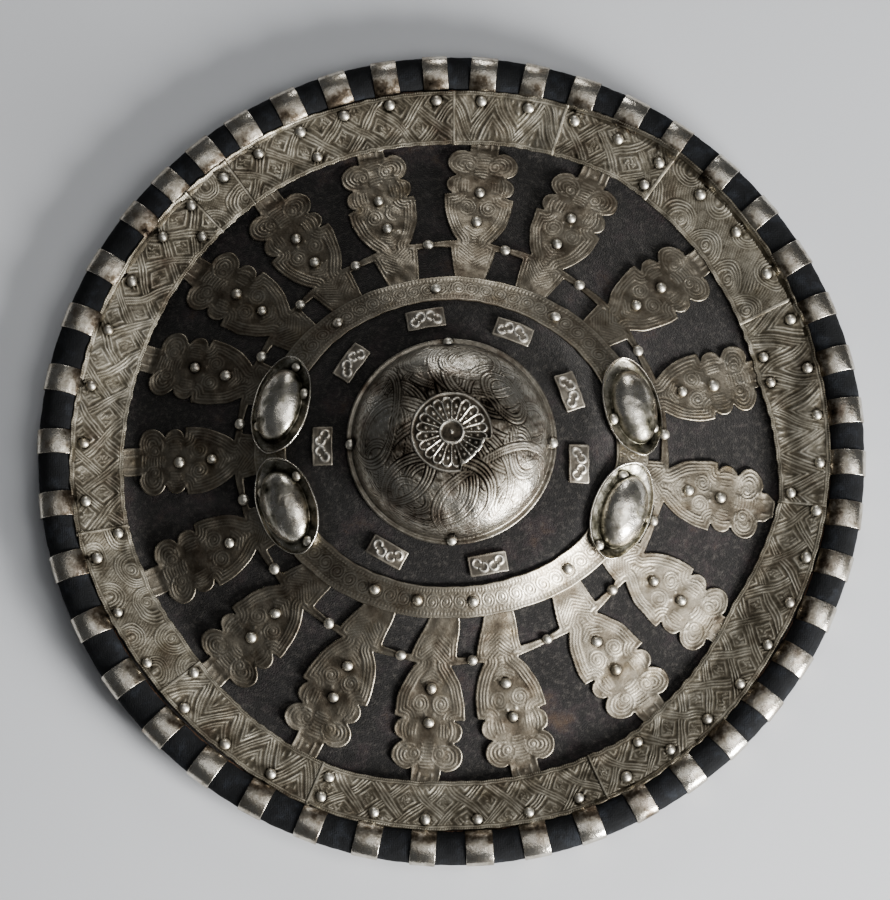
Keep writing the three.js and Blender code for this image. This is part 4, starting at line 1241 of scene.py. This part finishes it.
def grip_strap():
    stations, ring = 90, 28
    share = np.linspace(-1, 1, stations)
    turn = np.arange(ring) * 2 * math.pi / ring
    side = np.sign(np.cos(turn)) * abs(np.cos(turn)) ** 0.35
    face = np.sign(np.sin(turn)) * abs(np.sin(turn)) ** 0.8
    pads = step(abs(share), 0.66, 0.76)[:, None]
    width = GRIP_WIDTH / 2 * (0.72 + 0.28 * pads)
    thick = GRIP_THICKNESS / 2 * (1.15 - 0.35 * pads)
    slope = np.gradient(grip_line(share), share * GRIP_HALF)[:, None]
    lean = 1 / np.sqrt(1 + slope ** 2)
    x = share[:, None] * GRIP_HALF - slope * lean * thick * face
    y = width * side
    z = grip_line(share)[:, None] + lean * thick * face
    z = np.minimum(z, back_height(np.hypot(x, y)) - GAP)
    points = np.stack([x, y, z], -1).reshape(-1, 3)
    grid = np.arange(stations * ring).reshape(stations, ring)
    grid = np.hstack([grid, grid[:, :1]])
    faces = [quads(grid).reshape(-1, 4), grid[:1, :-1], grid[-1:, -2::-1]]
    if not looks_out(points, faces[0]):
        faces = [block[:, ::-1] for block in faces]
    return mesh_object("grip_strap_leather", points, faces, GRIP_LEATHER)


def grip_stitches():
    tree, sizes, out = new_tree("stitch_rows", ["Length", "Radius"])
    bar = add(tree, "GeometryNodeMeshCylinder", {
        "Vertices": 6, "Radius": sizes["Radius"], "Depth": sizes["Length"],
    })
    stand(tree, sizes[0], shaped(tree, bar.outputs["Mesh"], Rotation=(math.pi / 2, 0, 0)), out, THREAD)
    half = GRIP_THICKNESS / 2 * 0.8
    spots_along = np.arange(56.5, 74, 3.6)
    x, y = (value.ravel() for value in np.meshgrid([*-spots_along, *spots_along], (-11.5, 11.5)))
    z = np.minimum(grip_line(x / GRIP_HALF), back_height(np.hypot(x, y)) - GAP - half) - half
    return grown("grip_stitches", np.stack([x, y, z], -1), tree, {"Length": 2.4 * MM, "Radius": 0.5 * MM}, {
        "facing": np.tile([0.0, 0.0, -1.0], (len(x), 1)), "heading": np.tile([1.0, 0.0, 0.0], (len(x), 1)),
    })


# Nails: where their heads are, and where their ends are clenched over on the back
def nail_ends():
    places = STUDS.copy()
    places[:, 2] = np.maximum(back_height(np.hypot(STUDS[:, 0], STUDS[:, 1])), NAIL_END_HEIGHT)
    down = np.tile([0.0, 0.0, -1.0], (len(places), 1))
    return stud_heads("clenched_nail_ends", places, down, NAIL_END_RADIUS, NAIL_END_HEIGHT, LEAF_METAL)


def stud_places():
    places, ups = [], []

    def drive(x, y, line, base):
        places.append(on_line(line, np.array(x), np.array(y), base))
        ups.append(facing(line, np.array(x), np.array(y)))

    seat = METAL_LIFT + METAL
    for bearing in strip_bearings():
        drive(*plan(bearing, BAND_RADIUS - STUD_INSET), FRONT_LINE, seat + 0.4)
    for bearing in EDGE_STUDS:
        drive(*plan(bearing, band_inner(bearing) + EDGE_STUD_INSET), FRONT_LINE, seat + 0.9)
    for i, bearing in enumerate(LEAF_BEARINGS):
        for share in (0.24,) if i == BARE_LEAF else (0.24, 0.57):
            drive(*plan(bearing, WAIST_RADIUS + LEAF_LENGTH * share), FRONT_LINE, seat + 0.3)
        drive(*plan(arm_bearing(i), ARM_RADIUS), FRONT_LINE, seat + 0.3)
    for bearing in RING_STUDS:
        drive(*plan(bearing, (RING_OUTER + RING_INNER) / 2 * ring_spread(bearing)), FRONT_LINE, seat + 1.3)
    for bearing in DOME_STUDS:
        places.append(turned(bearing, DOME_RADIUS - 1, DOME_FOOT + METAL + 0.1))
        ups.append(np.array([0.0, 0.0, 1.0]))
    for i, (_, _, studs) in enumerate(BOSSES):
        for along, across in studs:
            low = boss_point(i, along, across, METAL)
            places.append(low)
            ups.append(boss_point(i, along, across, METAL + 1) - low)
    return np.array(places), np.array(ups)


# Stage
def make_camera():
    tilt = CAMERA_TILT * DEGREE
    right, up = Vector((1, 0, 0)), Vector((0, math.cos(tilt), math.sin(tilt)))
    back = Vector((0, -math.sin(tilt), math.cos(tilt)))
    target = Vector((0, 0, RIM_CENTRE[1])) - right * RIM_CENTRE_OFF[0] - up * RIM_CENTRE_OFF[1]
    lens = SENSOR * CAMERA_DISTANCE / MM_PER_PIXEL / IMAGE_HEIGHT
    data = bpy.data.cameras.new("camera")
    data.sensor_width = SENSOR
    data.lens = lens
    data.clip_end = 50
    camera = placed("camera", data)
    camera.location = (target + back * CAMERA_DISTANCE) * MM
    camera.rotation_euler = (tilt, 0, 0)
    bpy.context.scene.camera = camera


def soft_light(name, bearing, elevation, distance, size, power):
    """Square soft box that looks at the shield's middle; sizes here are in metres"""
    data = bpy.data.lights.new(name, "AREA")
    data.shape = "SQUARE"
    data.size = size
    data.energy = power
    lamp = placed(name, data)
    x, y = plan(bearing, math.cos(elevation * DEGREE))
    lamp.location = Vector((x, y, math.sin(elevation * DEGREE))) * distance
    lamp.rotation_euler = lamp.location.to_track_quat("Z", "Y").to_euler()


def stage():
    material, tree, place = new_material("pale_card_floor")
    colour = ramp(tree, noise(tree, place, 1000 / 1.5), (0.3, "#c9cbce"), (0.7, "#d6d7d9"))
    fill(tree, tree.nodes["Principled BSDF"], {"Base Color": colour, "Roughness": 0.9})
    size = 4000
    corners = np.array([(-size, -size, 0), (size, -size, 0), (size, size, 0), (-size, size, 0)], float)
    floor = mesh_object("floor", corners, [np.array([[0, 1, 2, 3]])], material, smooth=False)
    world = bpy.data.worlds.new("studio")
    bpy.context.scene.world = world
    world.use_nodes = True
    fill(world.node_tree, world.node_tree.nodes["Background"], {"Color": linear("#c8ccd2"), "Strength": 0.1})
    soft_light("key_soft_box", 131, 16, 2.2, 0.8, 185)
    soft_light("right_soft_box", 108, 54, 2.4, 1.2, 21)
    soft_light("upper_soft_box", 4, 24, 2.6, 0.5, 10)
    soft_light("overhead_soft_box", 60, 85, 2.6, 1.9, 9)


make_camera()
stage()

# Pieces, each with the nodes it stands for and its slot
STUDS, STUD_UPS = stud_places()
made = [
    (hide_shell(), ["hide_shell"], "hide"),
    (velvet_cover(), ["velvet_cover"], "velvet"),
    (rim_roll(), ["rim_binding"], "hide"),
    (rim_cloth(), ["rim_binding"], "rim_cloth"),
    (rim_strips(), ["rim_binding"], "white_metal"),
    (inner_ring(), ["inner_ring"], "white_metal"),
    (dome(), ["dome"], "white_metal"),
    (rosette(), ["rosette"], "white_metal"),
    (grip_strap(), ["grip_strap"], "grip_leather"),
    (grip_stitches(), [], "grip_leather"),
]
for make, count, node, slot in (
    (band_plate, len(BAND_SEAMS) - 1, "band_plate_{:02d}", "white_metal"),
    (leaf, len(LEAF_BEARINGS), "leaf_{:02d}", "white_metal"),
    (oval_boss, len(BOSSES), "oval_boss_{}", "polished_metal"),
    (plaque, len(PLAQUES), "plaque_{}", "polished_metal"),
):
    made += [(make(i), [node.format(i + 1)], slot) for i in range(count)]
made += [
    (stud_heads("stud_heads", STUDS, STUD_UPS, STUD_RADIUS, STUD_HEIGHT, STUD_METAL), [], "white_metal"),
    (nail_ends(), [], "white_metal"),
]

for thing, nodes, slot in made:
    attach(thing, "root")
    if nodes:
        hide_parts(*nodes)
